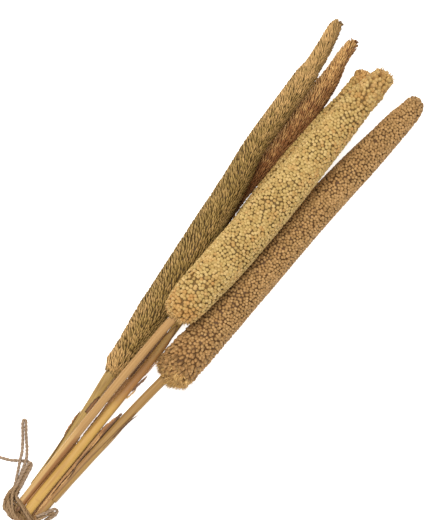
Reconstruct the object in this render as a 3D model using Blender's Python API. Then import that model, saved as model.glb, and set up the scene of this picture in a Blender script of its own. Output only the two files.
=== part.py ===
"""A tied bunch of five dried millet spikes, lying on a flat surface.

The bunch lies along +Y with its tips at the +Y end. Two spikes lie across the other three.
Lengths below are millimetres, and become metres where a mesh is made. Bunch coordinates have
X and Y from the tie and Z from the surface; the model's origin is under the middle of its box.
"""
import math
import random

import bmesh
import bpy

MM = 0.001
MIDDLE_X = 1.5
MIDDLE_Y = 218.7
SEED = 7

# Each row of a head is Y, X, radius to the spikelets' tips, and height of the axis.
LEFT_HEAD = (
    (122, -15.8, 6.4, 14.0), (130, -16.6, 9.0, 14.7), (150, -18.0, 10.2, 16.2), (185, -20.6, 12.5, 18.6),
    (250, -26.0, 13.0, 23.4), (300, -31.3, 11.6, 24.8), (340, -37.3, 9.6, 25.2), (400, -39.0, 9.5, 25.4),
    (415, -39.8, 7.7, 25.4), (430, -41.6, 7.0, 25.4), (445, -44.1, 6.1, 25.4), (451, -44.8, 5.5, 25.4),
    (455, -45.0, 4.7, 25.4), (457, -45.0, 3.4, 25.4),
)
RED_HEAD = (
    (245, -18.6, 4.4, 5.0), (256, -19.4, 5.6, 5.9), (275, -20.9, 6.3, 6.4), (300, -22.6, 6.9, 7.0),
    (340, -22.8, 7.3, 7.4), (380, -22.2, 8.1, 8.1), (400, -21.6, 9.0, 9.0), (412, -22.3, 8.4, 8.4),
    (421, -23.4, 7.5, 7.6), (431, -24.9, 6.3, 6.6), (441, -25.7, 5.6, 6.0), (448, -25.8, 4.8, 5.6),
    (451.5, -25.8, 3.2, 5.4),
)
FRONT_HEAD = (
    (188, -3.3, 8.8, 40.8), (191.5, -3.2, 13.0, 41.2), (197, -2.6, 14.9, 41.6), (210, -2.0, 16.5, 42.2),
    (250, 1.0, 17.5, 42.9), (300, 3.5, 17.0, 43.0), (340, 5.0, 15.8, 42.6), (380, 6.0, 14.6, 42.0),
    (400, 6.6, 13.5, 41.6), (420, 8.0, 12.0, 41.0), (437, 9.8, 9.5, 40.5), (444, 10.3, 8.0, 40.3),
    (447, 10.4, 5.6, 40.2),
)
BEHIND_HEAD = (
    (203, 1.6, 4.8, 9.5), (212, 1.2, 8.0, 9.4), (240, -0.8, 11.0, 11.0), (270, -2.8, 12.0, 12.0),
    (300, -3.8, 12.2, 12.2), (340, -3.5, 12.0, 12.0), (380, -3.0, 10.7, 10.8), (410, -1.4, 9.0, 9.4),
    (430, -1.3, 8.5, 8.8), (435.5, -1.9, 7.0, 8.7), (438, -2.2, 4.6, 8.6),
)
RIGHT_HEAD = (
    (147, 22.6, 9.5, 16.8), (152, 23.4, 15.6, 16.8), (165, 24.2, 17.0, 17.0), (190, 25.9, 16.4, 16.4),
    (250, 28.5, 16.2, 16.2), (300, 31.6, 15.0, 15.0), (350, 35.4, 14.0, 14.0), (380, 38.4, 13.3, 13.3),
    (400, 40.4, 12.1, 12.4), (420, 42.2, 11.0, 11.5), (437, 43.9, 9.0, 10.4), (445, 43.6, 6.8, 10.0),
    (447, 43.6, 3.8, 9.9),
)

# Each row of a stem is Y, X, radius and height of the axis, from its cut end into its head.
LEFT_STEM = (
    (-19.4, -8.2, 3.4, 6.3), (5, -8.2, 3.4, 6.3), (40, -9.3, 3.4, 8.8), (60, -10.7, 3.4, 10.0),
    (90, -13.3, 3.5, 11.9), (105, -14.6, 4.0, 12.9), (118, -15.5, 4.55, 13.8), (127.5, -16.3, 4.4, 14.5),
)
RED_STEM = (
    (-20.2, -0.6, 3.0, 5.8), (0, -0.6, 3.0, 5.8), (30, -3.4, 3.0, 3.8), (62, -7.0, 2.9, 3.2),
    (120, -8.6, 2.9, 3.2), (180, -12.6, 2.9, 3.3), (225, -16.8, 2.9, 4.0), (245, -18.6, 2.8, 5.0),
    (250.5, -19.0, 2.7, 5.4),
)
FRONT_STEM = (
    (-19.8, -8.4, 3.2, 13.4), (0, -8.4, 3.2, 13.4), (65, -7.5, 3.4, 21.0), (95, -7.1, 3.3, 25.4),
    (130, -6.3, 3.4, 31.2), (160, -5.1, 3.4, 36.4), (180, -4.0, 3.5, 39.6), (188, -3.2, 3.5, 40.8),
    (193.5, -2.85, 3.4, 41.3),
)
BEHIND_STEM = (
    (-20.6, -0.2, 3.3, 13.9), (0, -0.2, 3.3, 13.9), (60, 1.2, 3.2, 12.8), (110, 2.1, 3.1, 12.0),
    (150, 2.9, 3.0, 11.2), (180, 2.6, 3.0, 10.2), (203, 1.6, 3.0, 9.5), (208.5, 1.3, 3.0, 9.4),
)
RIGHT_STEM = (
    (-21.8, 9.1, 3.2, 9.5), (0, 9.1, 3.2, 9.5), (50, 11.9, 3.5, 10.6), (90, 14.9, 3.8, 12.4),
    (120, 17.8, 3.8, 14.4), (147, 20.9, 3.8, 16.8), (152.5, 21.6, 3.7, 17.0),
)
STEM_SIDES = 12
STEM_STEP = 18.0
SOCKET_DEPTH = 6.5
SOCKET_CLEARANCE = 0.6

REST_SPOT_Y = 300.0
REST_SPOT_REACH = 6.2

SHEATH_THICKNESS = 0.75
SHEATH_CLEARANCE = 0.5
SHEATH_FACET_DEGREES = 22.0
SHEATH_STEP = 12.0

TWINE_DIAMETER = 2.4
TWINE_CLEARANCE = 0.4
WRAP_TURNS = 6
WRAP_TOP_Y = -5.9
WRAP_TOP_SLANT = -0.36
WRAP_LOW_Y = -19.9
WRAP_LOW_SLANT = -0.14
WRAP_COLUMNS = 28
KNOT_CENTRE = (-18.6, -7.2, 10.4)
KNOT_RADIUS = 3.6
KNOT_LOBE = 1.95
KNOT_POINTS = 36
CORD_POINT_GAP = 3.6

TALL_LOOP_ROUTE = (
    (-20.6, 1.4, 7.6), (-22.0, 4.6, 6.4), (-25.0, 10.6, 5.0), (-28.0, 16.6, 4.4), (-30.6, 21.6, 4.2),
    (-33.6, 28.0, 2.4), (-38.2, 34.4, 1.3), (-42.2, 39.6, 1.3), (-45.2, 43.4, 1.3), (-47.2, 46.2, 1.3),
    (-47.9, 48.1, 1.3), (-46.7, 49.0, 1.3), (-45.0, 47.6, 1.3), (-43.0, 45.0, 1.3), (-40.0, 41.2, 1.3),
    (-36.1, 36.7, 1.3), (-31.6, 31.6, 1.7), (-28.0, 26.8, 3.7), (-25.7, 21.4, 4.5), (-23.9, 15.6, 4.2),
    (-22.0, 10.0, 4.0), (-20.6, 5.0, 4.3), (-19.6, 1.6, 4.6),
)
TAIL_ROUTE = (
    (-16.6, 1.6, 5.4), (-17.6, 6.0, 4.2), (-19.2, 12.0, 2.8), (-20.6, 18.4, 1.6), (-21.2, 21.6, 1.3),
    (-22.6, 23.9, 1.3), (-25.0, 24.0, 1.3), (-27.6, 22.3, 1.3), (-31.0, 20.2, 1.3), (-36.0, 16.6, 1.3),
    (-43.6, 13.2, 1.3), (-50.0, 11.2, 1.3), (-57.0, 9.6, 1.3),
)
SHORT_LOOP_ROUTE = (
    (-19.4, 1.6, 11.2), (-20.4, 6.0, 9.4), (-21.6, 12.0, 7.8), (-22.6, 18.0, 6.9), (-23.2, 22.0, 6.3),
    (-22.2, 24.9, 5.2), (-20.3, 22.8, 4.6), (-19.2, 17.6, 5.0), (-18.2, 12.0, 6.2), (-17.0, 6.4, 7.8),
    (-16.4, 1.8, 9.4),
)
RIGHT_LOOP_ROUTE = (
    (7.8, -6.2, 15.6), (10.0, -2.4, 15.3), (12.8, 2.4, 13.6), (14.4, 5.6, 11.6), (16.0, 7.7, 10.0),
    (18.0, 7.6, 8.8), (19.0, 5.4, 8.1), (18.6, 2.4, 7.8), (17.2, -1.0, 7.8),
    (16.4, -4.6, 8.0), (16.2, -7.8, 8.2),
)


def clear_scene():
    for item in list(bpy.data.objects):
        bpy.data.objects.remove(item, do_unlink=True)


def placed(x, y, z):
    """Bunch coordinates in millimetres as a place in the model, no lower than the surface."""
    return ((x - MIDDLE_X) * MM, (y - MIDDLE_Y) * MM, max(z, 0.0) * MM)


def soft_curve(rows):
    """A smooth curve through rows of (y, value, value, ...) that never overshoots a row."""
    places = [row[0] for row in rows]
    spans = [b - a for a, b in zip(places, places[1:])]

    def slopes(values):
        rates = [(b - a) / span for a, b, span in zip(values, values[1:], spans)]
        inner = [0.0 if a * b <= 0 else 2 * a * b / (a + b) for a, b in zip(rates, rates[1:])]
        return [rates[0]] + inner + [rates[-1]]

    columns = [list(column) for column in zip(*rows)][1:]
    column_slopes = [slopes(column) for column in columns]

    def at(y):
        y = min(max(y, places[0]), places[-1])
        k = max(i for i in range(len(spans)) if places[i] <= y)
        t = (y - places[k]) / spans[k]
        start, leave = 2 * t**3 - 3 * t**2 + 1, (t**3 - 2 * t**2 + t) * spans[k]
        end, arrive = 3 * t**2 - 2 * t**3, (t**3 - t**2) * spans[k]
        return [start * c[k] + leave * s[k] + end * c[k + 1] + arrive * s[k + 1]
                for c, s in zip(columns, column_slopes)]

    return at


def material(name, colour, roughness):
    made = bpy.data.materials.new(name)
    made.use_nodes = True
    shader = made.node_tree.nodes["Principled BSDF"]
    shader.inputs["Base Color"].default_value = (*colour, 1.0)
    shader.inputs["Roughness"].default_value = roughness
    return made


def mesh_object(name, vertices, faces, look):
    """One closed mesh from bunch coordinates, with its faces turned outwards."""
    mesh = bpy.data.meshes.new(name)
    mesh.from_pydata([placed(*vertex) for vertex in vertices], [], faces)
    shape = bmesh.new()
    shape.from_mesh(mesh)
    bmesh.ops.recalc_face_normals(shape, faces=shape.faces)
    shape.to_mesh(mesh)
    shape.free()
    mesh.materials.append(look)
    made = bpy.data.objects.new(name, mesh)
    bpy.context.scene.collection.objects.link(made)
    return made


def ring_faces(low, high, sides):
    """Quads between two rings whose vertices start at low and high."""
    return [(low + i, low + (i + 1) % sides, high + (i + 1) % sides, high + i) for i in range(sides)]


def stem(name, rows, look):
    """A round stem along its rows, closed by a flat cut at each end."""
    curve = soft_curve(rows)
    low, high = rows[0][0], rows[-1][0]
    count = max(2, round((high - low) / STEM_STEP)) + 1
    vertices, faces = [], []
    for j in range(count):
        y = low + (high - low) * j / (count - 1)
        x, radius, z = curve(y)
        for i in range(STEM_SIDES):
            angle = 2 * math.pi * (i + 0.5) / STEM_SIDES
            vertices.append((x + radius * math.cos(angle), y, z + radius * math.sin(angle)))
        if j:
            faces += ring_faces((j - 1) * STEM_SIDES, j * STEM_SIDES, STEM_SIDES)
    last = (count - 1) * STEM_SIDES
    faces.append(tuple(range(STEM_SIDES)))
    faces.append(tuple(range(last, last + STEM_SIDES)))
    return mesh_object(name, vertices, faces, look)


def spikelet_faces(low, high, sides, row):
    """Triangles between two rings of tips and hollows, split so that each tip is a pyramid."""
    faces = []
    for i in range(sides):
        a, b = low + i, low + (i + 1) % sides
        c, d = high + (i + 1) % sides, high + i
        if (i + row) % 2 == 0:
            faces += [(a, b, d), (b, c, d)]
        else:
            faces += [(a, b, c), (a, c, d)]
    return faces


def head(name, rows, stem_rows, look, columns, relief, slender=1.0, lean=0.0, brush=0.0, tuft=0.0,
         rest_spot=False):
    """A spike whose spikelets are raised from its surface, with a socket for its stem.

    Rings of vertices are tips and hollows by turns, and each ring is shifted against the last.
    slender stretches the spikelets along the spike, and lean moves their tips along it by that
    share of a row. brush and tuft are how far those at the spike's base and at its tip stray.
    """
    draw = random.Random(f"{SEED} {name}")
    curve, stem_curve = soft_curve(rows), soft_curve(stem_rows)
    low, high = rows[0][0], rows[-1][0]
    sides = 2 * columns
    widest = max(row[2] for row in rows)
    count = round((high - low) / (slender * math.pi * widest / columns)) + 1
    step = (high - low) / (count - 1)
    socket = stem_rows[-1][2] + SOCKET_CLEARANCE

    vertices, faces = [], []
    x, _, z = stem_curve(low + SOCKET_DEPTH)
    vertices.append((x, low + SOCKET_DEPTH, z))
    for y in (low + SOCKET_DEPTH, low):
        x, _, z = stem_curve(y)
        for i in range(sides):
            angle = math.pi * i / columns
            vertices.append((x + socket * math.cos(angle), y, z + socket * math.sin(angle)))
    faces += [(0, 1 + i, 1 + (i + 1) % sides) for i in range(sides)]
    faces += ring_faces(1, 1 + sides, sides)

    for j in range(count):
        y = low + step * j
        x, radius, z = curve(y)
        base_share = max(0.0, 1.0 - j / 2.5)
        tip_share = max(0.0, 1.0 - (high - y) / 35.0)
        wall = socket if y < low + 2 * SOCKET_DEPTH else 0.0
        for i in range(sides):
            angle = math.pi * i / columns
            along, reach = 0.0, max(radius - relief, 0.6 * radius, wall + 0.7)
            if (i + j) % 2 == 0:
                reach = radius * draw.uniform(0.97, 1.0)
                along = lean * step * min(1.0, j / 3)
                along -= base_share * brush * draw.uniform(0.3, 1.0)
                along += tip_share * tuft * draw.uniform(-0.3, 1.0)
                reach -= tip_share * tuft * draw.uniform(0.0, 0.4)
                reach = max(reach, wall + 1.0)
            place = [x + reach * math.cos(angle), y + along, z + reach * math.sin(angle)]
            near_spot = max(abs(place[0] - x), abs(y - REST_SPOT_Y)) < REST_SPOT_REACH
            if rest_spot and near_spot and place[2] < z:
                place = [place[0], y, 0.0]
            vertices.append(tuple(place))
        start = 1 + sides * (2 + j)
        if j == 0:
            faces += ring_faces(1 + sides, start, sides)
        else:
            faces += spikelet_faces(start - sides, start, sides, j - 1)
    x, radius, z = curve(high)
    vertices.append((x, high + 0.4 * radius, z))
    last = len(vertices) - 1
    faces += [(last - sides + i, last - sides + (i + 1) % sides, last) for i in range(sides)]
    return mesh_object(name, vertices, faces, look)


def sheath(name, stem_rows, look, low, high, middle, half_width, taper, torn):
    """A dried leaf sheath: a thin shell that hugs its stem and ends in a torn point.

    middle and half_width are degrees round the stem, from +X through the top. taper is the
    length over which the shell narrows, and torn how far its upper edge strays.
    """
    draw = random.Random(f"{SEED} {name}")
    curve = soft_curve(stem_rows)
    rows = max(3, round((high - low) / SHEATH_STEP)) + 1
    columns = round(2 * half_width / SHEATH_FACET_DEGREES) + 1
    outer, inner = [], []
    for j in range(rows):
        y = low + (high - low) * j / (rows - 1)
        x, radius, z = curve(y)
        share = min(1.0, (high - y) / taper) ** 0.7
        width = math.radians(half_width) * max(share, 0.12)
        sway = math.radians(torn * draw.uniform(-1.0, 1.0)) * (1.0 if share < 1.0 else 0.3)
        for i in range(columns):
            angle = math.radians(middle) + sway + width * (2 * i / (columns - 1) - 1)
            for shell, reach in ((inner, SHEATH_CLEARANCE), (outer, SHEATH_CLEARANCE + SHEATH_THICKNESS)):
                distance = radius + reach
                shell.append((x + distance * math.cos(angle), y, z + distance * math.sin(angle)))
    vertices = outer + inner
    size = len(outer)
    faces = []
    for j in range(rows - 1):
        for i in range(columns - 1):
            a = j * columns + i
            quad = (a, a + 1, a + columns + 1, a + columns)
            faces.append(quad)
            faces.append(tuple(size + k for k in reversed(quad)))
        left, right = j * columns, j * columns + columns - 1
        faces.append((left, left + columns, size + left + columns, size + left))
        faces.append((right + columns, right, size + right, size + right + columns))
    top = (rows - 1) * columns
    for i in range(columns - 1):
        faces.append((i + 1, i, size + i, size + i + 1))
        faces.append((top + i, top + i + 1, size + top + i + 1, size + top + i))
    return mesh_object(name, vertices, faces, look)


def hull(points):
    """The convex outline of some (x, z) points, anticlockwise."""
    points = sorted(set(points))

    def half(row):
        line = []
        for p in row:
            while len(line) > 1 and ((line[-1][0] - line[-2][0]) * (p[1] - line[-2][1])
                                     <= (line[-1][1] - line[-2][1]) * (p[0] - line[-2][0])):
                line.pop()
            line.append(p)
        return line[:-1]

    return half(points) + half(points[::-1])


def bundle_outline(gap, count):
    """The line that twine takes round the five stems, gap outside them, as count points."""
    circles = [(rows[0][1], rows[0][3], rows[0][2] + gap) for rows in (LEFT_STEM, RED_STEM, FRONT_STEM)]
    for rows in (BEHIND_STEM, RIGHT_STEM):
        circles.append((rows[0][1], rows[0][3], rows[0][2] + gap + SHEATH_CLEARANCE + SHEATH_THICKNESS))
    steps = [2 * math.pi * i / 48 for i in range(48)]
    line = hull([(x + r * math.cos(t), z + r * math.sin(t)) for x, z, r in circles for t in steps])
    middle_x = sum(x for x, _, _ in circles) / len(circles)
    middle_z = sum(z for _, z, _ in circles) / len(circles)
    start = min(range(len(line)), key=lambda i: abs(math.atan2(line[i][1] - middle_z, line[i][0] - middle_x)))
    line = line[start:] + line[:start + 1]
    lengths = [0.0]
    for a, b in zip(line, line[1:]):
        lengths.append(lengths[-1] + math.dist(a, b))
    outline = []
    for i in range(count):
        goal = lengths[-1] * i / count
        k = max(j for j in range(len(line) - 1) if lengths[j] <= goal)
        t = (goal - lengths[k]) / (lengths[k + 1] - lengths[k])
        outline.append(tuple(p + t * (q - p) for p, q in zip(line[k], line[k + 1])))
    return outline


def wrap_y(x, share):
    """Where the twine's turns lie at x, from their upper edge at share 0 to their lower one at 1."""
    top, low = WRAP_TOP_Y + WRAP_TOP_SLANT * x, WRAP_LOW_Y + WRAP_LOW_SLANT * x
    return top + share * (low - top)


def twine_wraps(look):
    """The turns of twine round the stems as one sleeve, with a ridge for each turn."""
    hollow = bundle_outline(TWINE_CLEARANCE, WRAP_COLUMNS)
    valley = bundle_outline(TWINE_CLEARANCE + 0.35 * TWINE_DIAMETER, WRAP_COLUMNS)
    ridge = bundle_outline(TWINE_CLEARANCE + TWINE_DIAMETER, WRAP_COLUMNS)
    profile = []
    for turn in range(WRAP_TURNS):
        profile.append((valley, turn / WRAP_TURNS))
        profile.append((ridge, (turn + 0.5) / WRAP_TURNS))
    profile += [(valley, 1.0), (hollow, 1.0), (hollow, 0.0)]
    vertices, faces = [], []
    for outline, share in profile:
        vertices += [(x, wrap_y(x, share), z) for x, z in outline]
    rings = len(profile)
    for j in range(rings):
        faces += ring_faces(j * WRAP_COLUMNS, (j + 1) % rings * WRAP_COLUMNS, WRAP_COLUMNS)
    return mesh_object("twine_wraps", vertices, faces, look)


def smooth_route(points, gap):
    """Points about gap apart on a smooth curve through a route's points."""
    ends = [tuple(2 * a - b for a, b in zip(points[0], points[1]))]
    tail = [tuple(2 * a - b for a, b in zip(points[-1], points[-2]))]
    line = ends + list(points) + tail
    route = []
    for p0, p1, p2, p3 in zip(line, line[1:], line[2:], line[3:]):
        steps = max(1, round(math.dist(p1, p2) / gap))
        for k in range(steps):
            t = k / steps
            route.append(tuple(
                b + 0.5 * t * (c - a + t * (2 * a - 5 * b + 4 * c - d + t * (3 * b - a - 3 * c + d)))
                for a, b, c, d in zip(p0, p1, p2, p3)))
    return route + [tuple(points[-1])]


def twine(name, points, look, closed=False):
    """A round length of twine along some points."""
    curve = bpy.data.curves.new(name, "CURVE")
    curve.dimensions = "3D"
    curve.bevel_depth = TWINE_DIAMETER / 2 * MM
    curve.bevel_resolution = 2
    curve.use_fill_caps = not closed
    spline = curve.splines.new("POLY")
    spline.points.add(len(points) - 1)
    for point, place in zip(spline.points, points):
        point.co = (*placed(*place), 1.0)
    spline.use_cyclic_u = closed
    curve.materials.append(look)
    made = bpy.data.objects.new(name, curve)
    bpy.context.scene.collection.objects.link(made)
    return made


def knot(look):
    """An overhand knot beside the stems: twine that passes three times through its own ring."""
    points = []
    for i in range(KNOT_POINTS):
        turn = 2 * math.pi * i / KNOT_POINTS
        ring = KNOT_RADIUS + KNOT_LOBE * math.cos(3 * turn)
        points.append((
            KNOT_CENTRE[0] + KNOT_LOBE * math.sin(3 * turn),
            KNOT_CENTRE[1] + ring * math.cos(2 * turn),
            KNOT_CENTRE[2] + ring * math.sin(2 * turn),
        ))
    return twine("twine_knot", points, look, closed=True)


def build():
    clear_scene()
    olive = material("olive_spikelets", (0.42, 0.29, 0.12), 0.7)
    red = material("red_spikelets", (0.45, 0.25, 0.12), 0.7)
    pale = material("pale_spikelets", (0.66, 0.48, 0.22), 0.7)
    brown = material("brown_spikelets", (0.44, 0.28, 0.13), 0.7)
    tan = material("tan_stem", (0.68, 0.47, 0.22), 0.45)
    orange = material("orange_stem", (0.72, 0.42, 0.13), 0.45)
    husk = material("orange_sheath", (0.70, 0.40, 0.13), 0.5)
    dark = material("dark_sheath", (0.22, 0.11, 0.05), 0.6)
    jute = material("jute_twine", (0.26, 0.17, 0.10), 0.85)

    head("head_left", LEFT_HEAD, LEFT_STEM, olive, columns=10, relief=1.9, slender=1.25, lean=0.45)
    head("head_red", RED_HEAD, RED_STEM, red, columns=7, relief=1.5, slender=1.15, lean=0.5, tuft=3.0)
    head("head_front", FRONT_HEAD, FRONT_STEM, pale, columns=12, relief=2.3, brush=2.5, tuft=3.0)
    head("head_behind", BEHIND_HEAD, BEHIND_STEM, pale, columns=8, relief=2.2, tuft=2.5)
    head("head_right", RIGHT_HEAD, RIGHT_STEM, brown, columns=11, relief=2.3, brush=5.0, rest_spot=True)

    stem("stem_left", LEFT_STEM, tan)
    stem("stem_red", RED_STEM, tan)
    stem("stem_front", FRONT_STEM, tan)
    stem("stem_behind", BEHIND_STEM, orange)
    stem("stem_right", RIGHT_STEM, tan)

    sheath("sheath_left", LEFT_STEM, tan, 12, 82, middle=176, half_width=56, taper=60, torn=5)
    sheath("scrap_left", LEFT_STEM, dark, 84, 101, middle=60, half_width=34, taper=12, torn=14)
    sheath("sheath_behind", BEHIND_STEM, husk, -18, 184, middle=90, half_width=118, taper=46, torn=14)
    sheath("sheath_right", RIGHT_STEM, dark, -20, 101, middle=152, half_width=40, taper=70, torn=5)
    sheath("sliver_right", RIGHT_STEM, tan, 12, 109, middle=48, half_width=44, taper=60, torn=5)

    twine_wraps(jute)
    knot(jute)
    twine("twine_tall_loop", smooth_route(TALL_LOOP_ROUTE, CORD_POINT_GAP), jute)
    twine("twine_short_loop", smooth_route(SHORT_LOOP_ROUTE, CORD_POINT_GAP), jute)
    twine("twine_right_loop", smooth_route(RIGHT_LOOP_ROUTE, CORD_POINT_GAP), jute)
    twine("twine_tail", smooth_route(TAIL_ROUTE, CORD_POINT_GAP), jute)


build()
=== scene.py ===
"""The looks of a tied bunch of dried millet spikes, seen from straight above.

Lengths are millimetres in the bunch's own coordinates, the same as in the model's source: X and Y
from the tie, Z from the surface. They become metres where a mesh is made. Colours are linear.
"""
import math

import bpy
import numpy as np
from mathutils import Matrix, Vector, kdtree


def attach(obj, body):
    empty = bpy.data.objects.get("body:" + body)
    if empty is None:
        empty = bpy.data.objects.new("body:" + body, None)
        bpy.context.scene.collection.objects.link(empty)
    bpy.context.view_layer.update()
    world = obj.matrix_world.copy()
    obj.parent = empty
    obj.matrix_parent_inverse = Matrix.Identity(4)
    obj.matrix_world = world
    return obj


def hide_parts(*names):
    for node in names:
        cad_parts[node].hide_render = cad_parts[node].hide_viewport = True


MM = 0.001
MIDDLE_X = 1.5
MIDDLE_Y = 218.7
SEED = 11

# Camera: the picture's middle in bunch coordinates, and the height of what it covers there.
AIM = (-3.1, 246.3, 25.0)
CAMERA_DISTANCE = 6000.0
COVERED_HEIGHT = 416.0
CAMERA_TURN = 38.0
SENSOR = 36.0

# Each row of a head is Y, X, radius to the spikelets' tips, and height of the axis.
LEFT_HEAD = (
    (122, -15.8, 6.4, 14.0), (130, -16.6, 9.0, 14.7), (150, -17.6, 10.9, 16.2), (185, -19.9, 13.4, 18.6),
    (250, -26.0, 13.0, 23.4), (300, -31.3, 11.6, 24.8), (340, -37.3, 9.6, 25.2), (400, -39.0, 9.5, 25.4),
    (415, -39.8, 7.7, 25.4), (430, -41.6, 7.0, 25.4), (445, -44.1, 6.1, 25.4), (450.5, -44.8, 5.5, 25.4),
    (453.5, -45.0, 5.0, 25.4), (455, -45.0, 4.4, 25.4),
)
RED_HEAD = (
    (245, -18.6, 4.4, 5.0), (256, -19.4, 5.6, 5.9), (275, -20.9, 6.3, 6.4), (300, -22.6, 6.9, 7.0),
    (340, -22.3, 8.7, 8.7), (380, -21.6, 10.1, 10.0), (400, -21.9, 9.5, 9.5), (412, -22.4, 8.6, 8.6),
    (421, -23.4, 7.5, 7.6), (431, -24.9, 6.3, 6.6), (441, -25.7, 5.7, 6.0), (448, -25.8, 5.4, 5.6),
    (451.5, -25.6, 4.2, 5.4),
)
FRONT_HEAD = (
    (190.5, -3.3, 9.8, 40.8), (193.5, -3.2, 13.4, 41.2), (198, -2.6, 15.0, 41.6), (210, -2.0, 16.5, 42.2),
    (250, 1.0, 17.5, 42.9), (300, 3.5, 17.0, 43.0), (340, 5.0, 15.8, 42.6), (380, 6.0, 14.6, 42.0),
    (400, 6.6, 13.5, 41.6), (420, 8.0, 12.0, 41.0), (437, 9.8, 9.5, 40.5), (444, 10.3, 8.6, 40.3),
    (447, 10.3, 7.7, 40.2),
)
BEHIND_HEAD = (
    (203, 1.6, 4.8, 9.5), (212, 1.2, 8.0, 9.4), (240, -0.8, 11.0, 11.0), (270, -2.8, 12.0, 12.0),
    (300, -3.8, 12.2, 12.2), (340, -3.5, 12.0, 12.0), (380, -3.0, 10.7, 10.8), (410, -1.4, 9.0, 9.4),
    (430, -1.3, 8.5, 8.8), (435.5, -1.9, 8.3, 8.7), (438, -2.1, 7.5, 8.6),
)
RIGHT_HEAD = (
    (147, 22.6, 9.5, 16.8), (152, 23.4, 15.6, 16.8), (165, 24.2, 17.0, 17.0), (190, 25.9, 16.4, 16.4),
    (250, 28.5, 16.2, 16.2), (300, 31.6, 15.0, 15.0), (350, 35.4, 14.0, 14.0), (380, 38.4, 13.3, 13.3),
    (400, 40.4, 12.1, 12.4), (420, 42.2, 11.0, 11.5), (437, 43.9, 9.0, 10.4), (445, 43.6, 6.8, 10.0),
    (447, 43.6, 3.8, 9.9),
)

# Each row of a stem is Y, X, radius and height of the axis, from its cut end into its head.
LEFT_STEM = (
    (-19.4, -8.2, 3.4, 6.3), (5, -8.2, 3.4, 6.3), (40, -9.3, 3.4, 8.8), (60, -10.7, 3.4, 10.0),
    (90, -13.3, 3.5, 11.9), (105, -14.6, 4.0, 12.9), (118, -15.5, 4.55, 13.8), (127.5, -16.3, 4.4, 14.5),
)
RED_STEM = (
    (-20.2, -0.6, 3.0, 5.8), (0, -0.6, 3.0, 5.8), (30, -3.4, 3.0, 3.8), (62, -7.0, 2.9, 3.2),
    (120, -8.6, 2.9, 3.2), (180, -12.6, 2.9, 3.3), (225, -16.8, 2.9, 4.0), (245, -18.6, 2.8, 5.0),
    (250.5, -19.0, 2.7, 5.4),
)
FRONT_STEM = (
    (-19.8, -8.4, 3.2, 13.4), (0, -8.4, 3.2, 13.4), (65, -7.5, 3.4, 21.0), (95, -7.1, 3.3, 25.4),
    (130, -6.3, 3.4, 31.2), (160, -5.1, 3.4, 36.4), (180, -4.0, 3.5, 39.6), (188, -3.2, 3.5, 40.8),
    (193.5, -2.85, 3.4, 41.3),
)
BEHIND_STEM = (
    (-20.6, -0.2, 3.3, 13.9), (0, -0.2, 3.3, 13.9), (60, 1.2, 3.2, 12.8), (110, 2.1, 3.1, 12.0),
    (150, 2.9, 3.0, 11.2), (180, 2.6, 3.0, 10.2), (203, 1.6, 3.0, 9.5), (208.5, 1.3, 3.0, 9.4),
)
RIGHT_STEM = (
    (-21.8, 9.1, 3.2, 9.5), (0, 9.1, 3.2, 9.5), (50, 11.9, 3.5, 10.6), (90, 14.9, 3.8, 12.4),
    (120, 17.8, 3.8, 14.4), (147, 20.9, 3.8, 16.8), (152.5, 21.6, 3.7, 17.0),
)
CUT_HOLLOW = 0.6
SHEATH_CLEARANCE = 0.5
SHEATH_THICKNESS = 0.75
SHEATH_GAP = 0.35
SLIVER_THICKNESS = 0.4
SLIVER_GAP = 0.8

TWINE_DIAMETER = 2.4
TWINE_CLEARANCE = 0.4
# Twine measures thinner than the diameter its plies are made with, so free stretches get more.
LOOSE_TWINE_DIAMETER = 2.85
TWINE_STRAND_DIAMETER = 2.5
FIBRES_PER_MM = 1.6
FIBRE_LENGTH = 2.6
TWIST_LENGTH = 6.5
WRAP_TURNS = 6
WRAP_TOP_Y = -5.9
WRAP_TOP_SLANT = -0.36
WRAP_LOW_Y = -19.9
WRAP_LOW_SLANT = -0.14
KNOT_CENTRE = (-18.6, -7.2, 10.4)
KNOT_RADIUS = 3.6
KNOT_LOBE = 1.95
TWINE_RING_GAP = 0.7

TALL_LOOP_ROUTE = (
    (-20.6, 1.4, 7.6), (-22.0, 4.6, 6.4), (-25.0, 10.6, 5.0), (-28.0, 16.6, 4.4), (-30.6, 21.6, 4.2),
    (-33.6, 28.0, 2.4), (-38.2, 34.4, 1.3), (-42.2, 39.6, 1.3), (-45.2, 43.4, 1.3), (-47.2, 46.2, 1.3),
    (-47.9, 48.1, 1.3), (-46.7, 49.0, 1.3), (-45.0, 47.6, 1.3), (-43.0, 45.0, 1.3), (-40.0, 41.2, 1.3),
    (-36.1, 36.7, 1.3), (-31.6, 31.6, 1.7), (-28.0, 26.8, 3.7), (-25.7, 21.4, 4.5), (-23.9, 15.6, 4.2),
    (-22.0, 10.0, 4.0), (-20.6, 5.0, 4.3), (-19.6, 1.6, 4.6),
)
TAIL_ROUTE = (
    (-16.6, 1.6, 5.4), (-17.6, 6.0, 4.2), (-19.2, 12.0, 2.8), (-20.6, 18.4, 1.6), (-21.2, 21.6, 1.3),
    (-22.6, 23.9, 1.3), (-25.0, 24.0, 1.3), (-27.6, 22.3, 1.3), (-31.0, 20.2, 1.3), (-36.0, 16.6, 1.3),
    (-43.6, 13.2, 1.3), (-50.0, 11.2, 1.3), (-57.0, 9.6, 1.3),
)
SHORT_LOOP_ROUTE = (
    (-19.4, 1.6, 11.2), (-20.4, 6.0, 9.4), (-21.6, 12.0, 7.8), (-22.6, 18.0, 6.9), (-23.2, 22.0, 6.3),
    (-22.2, 24.9, 5.2), (-20.3, 22.8, 4.6), (-19.2, 17.6, 5.0), (-18.2, 12.0, 6.2), (-17.0, 6.4, 7.8),
    (-16.4, 1.8, 9.4),
)
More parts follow.
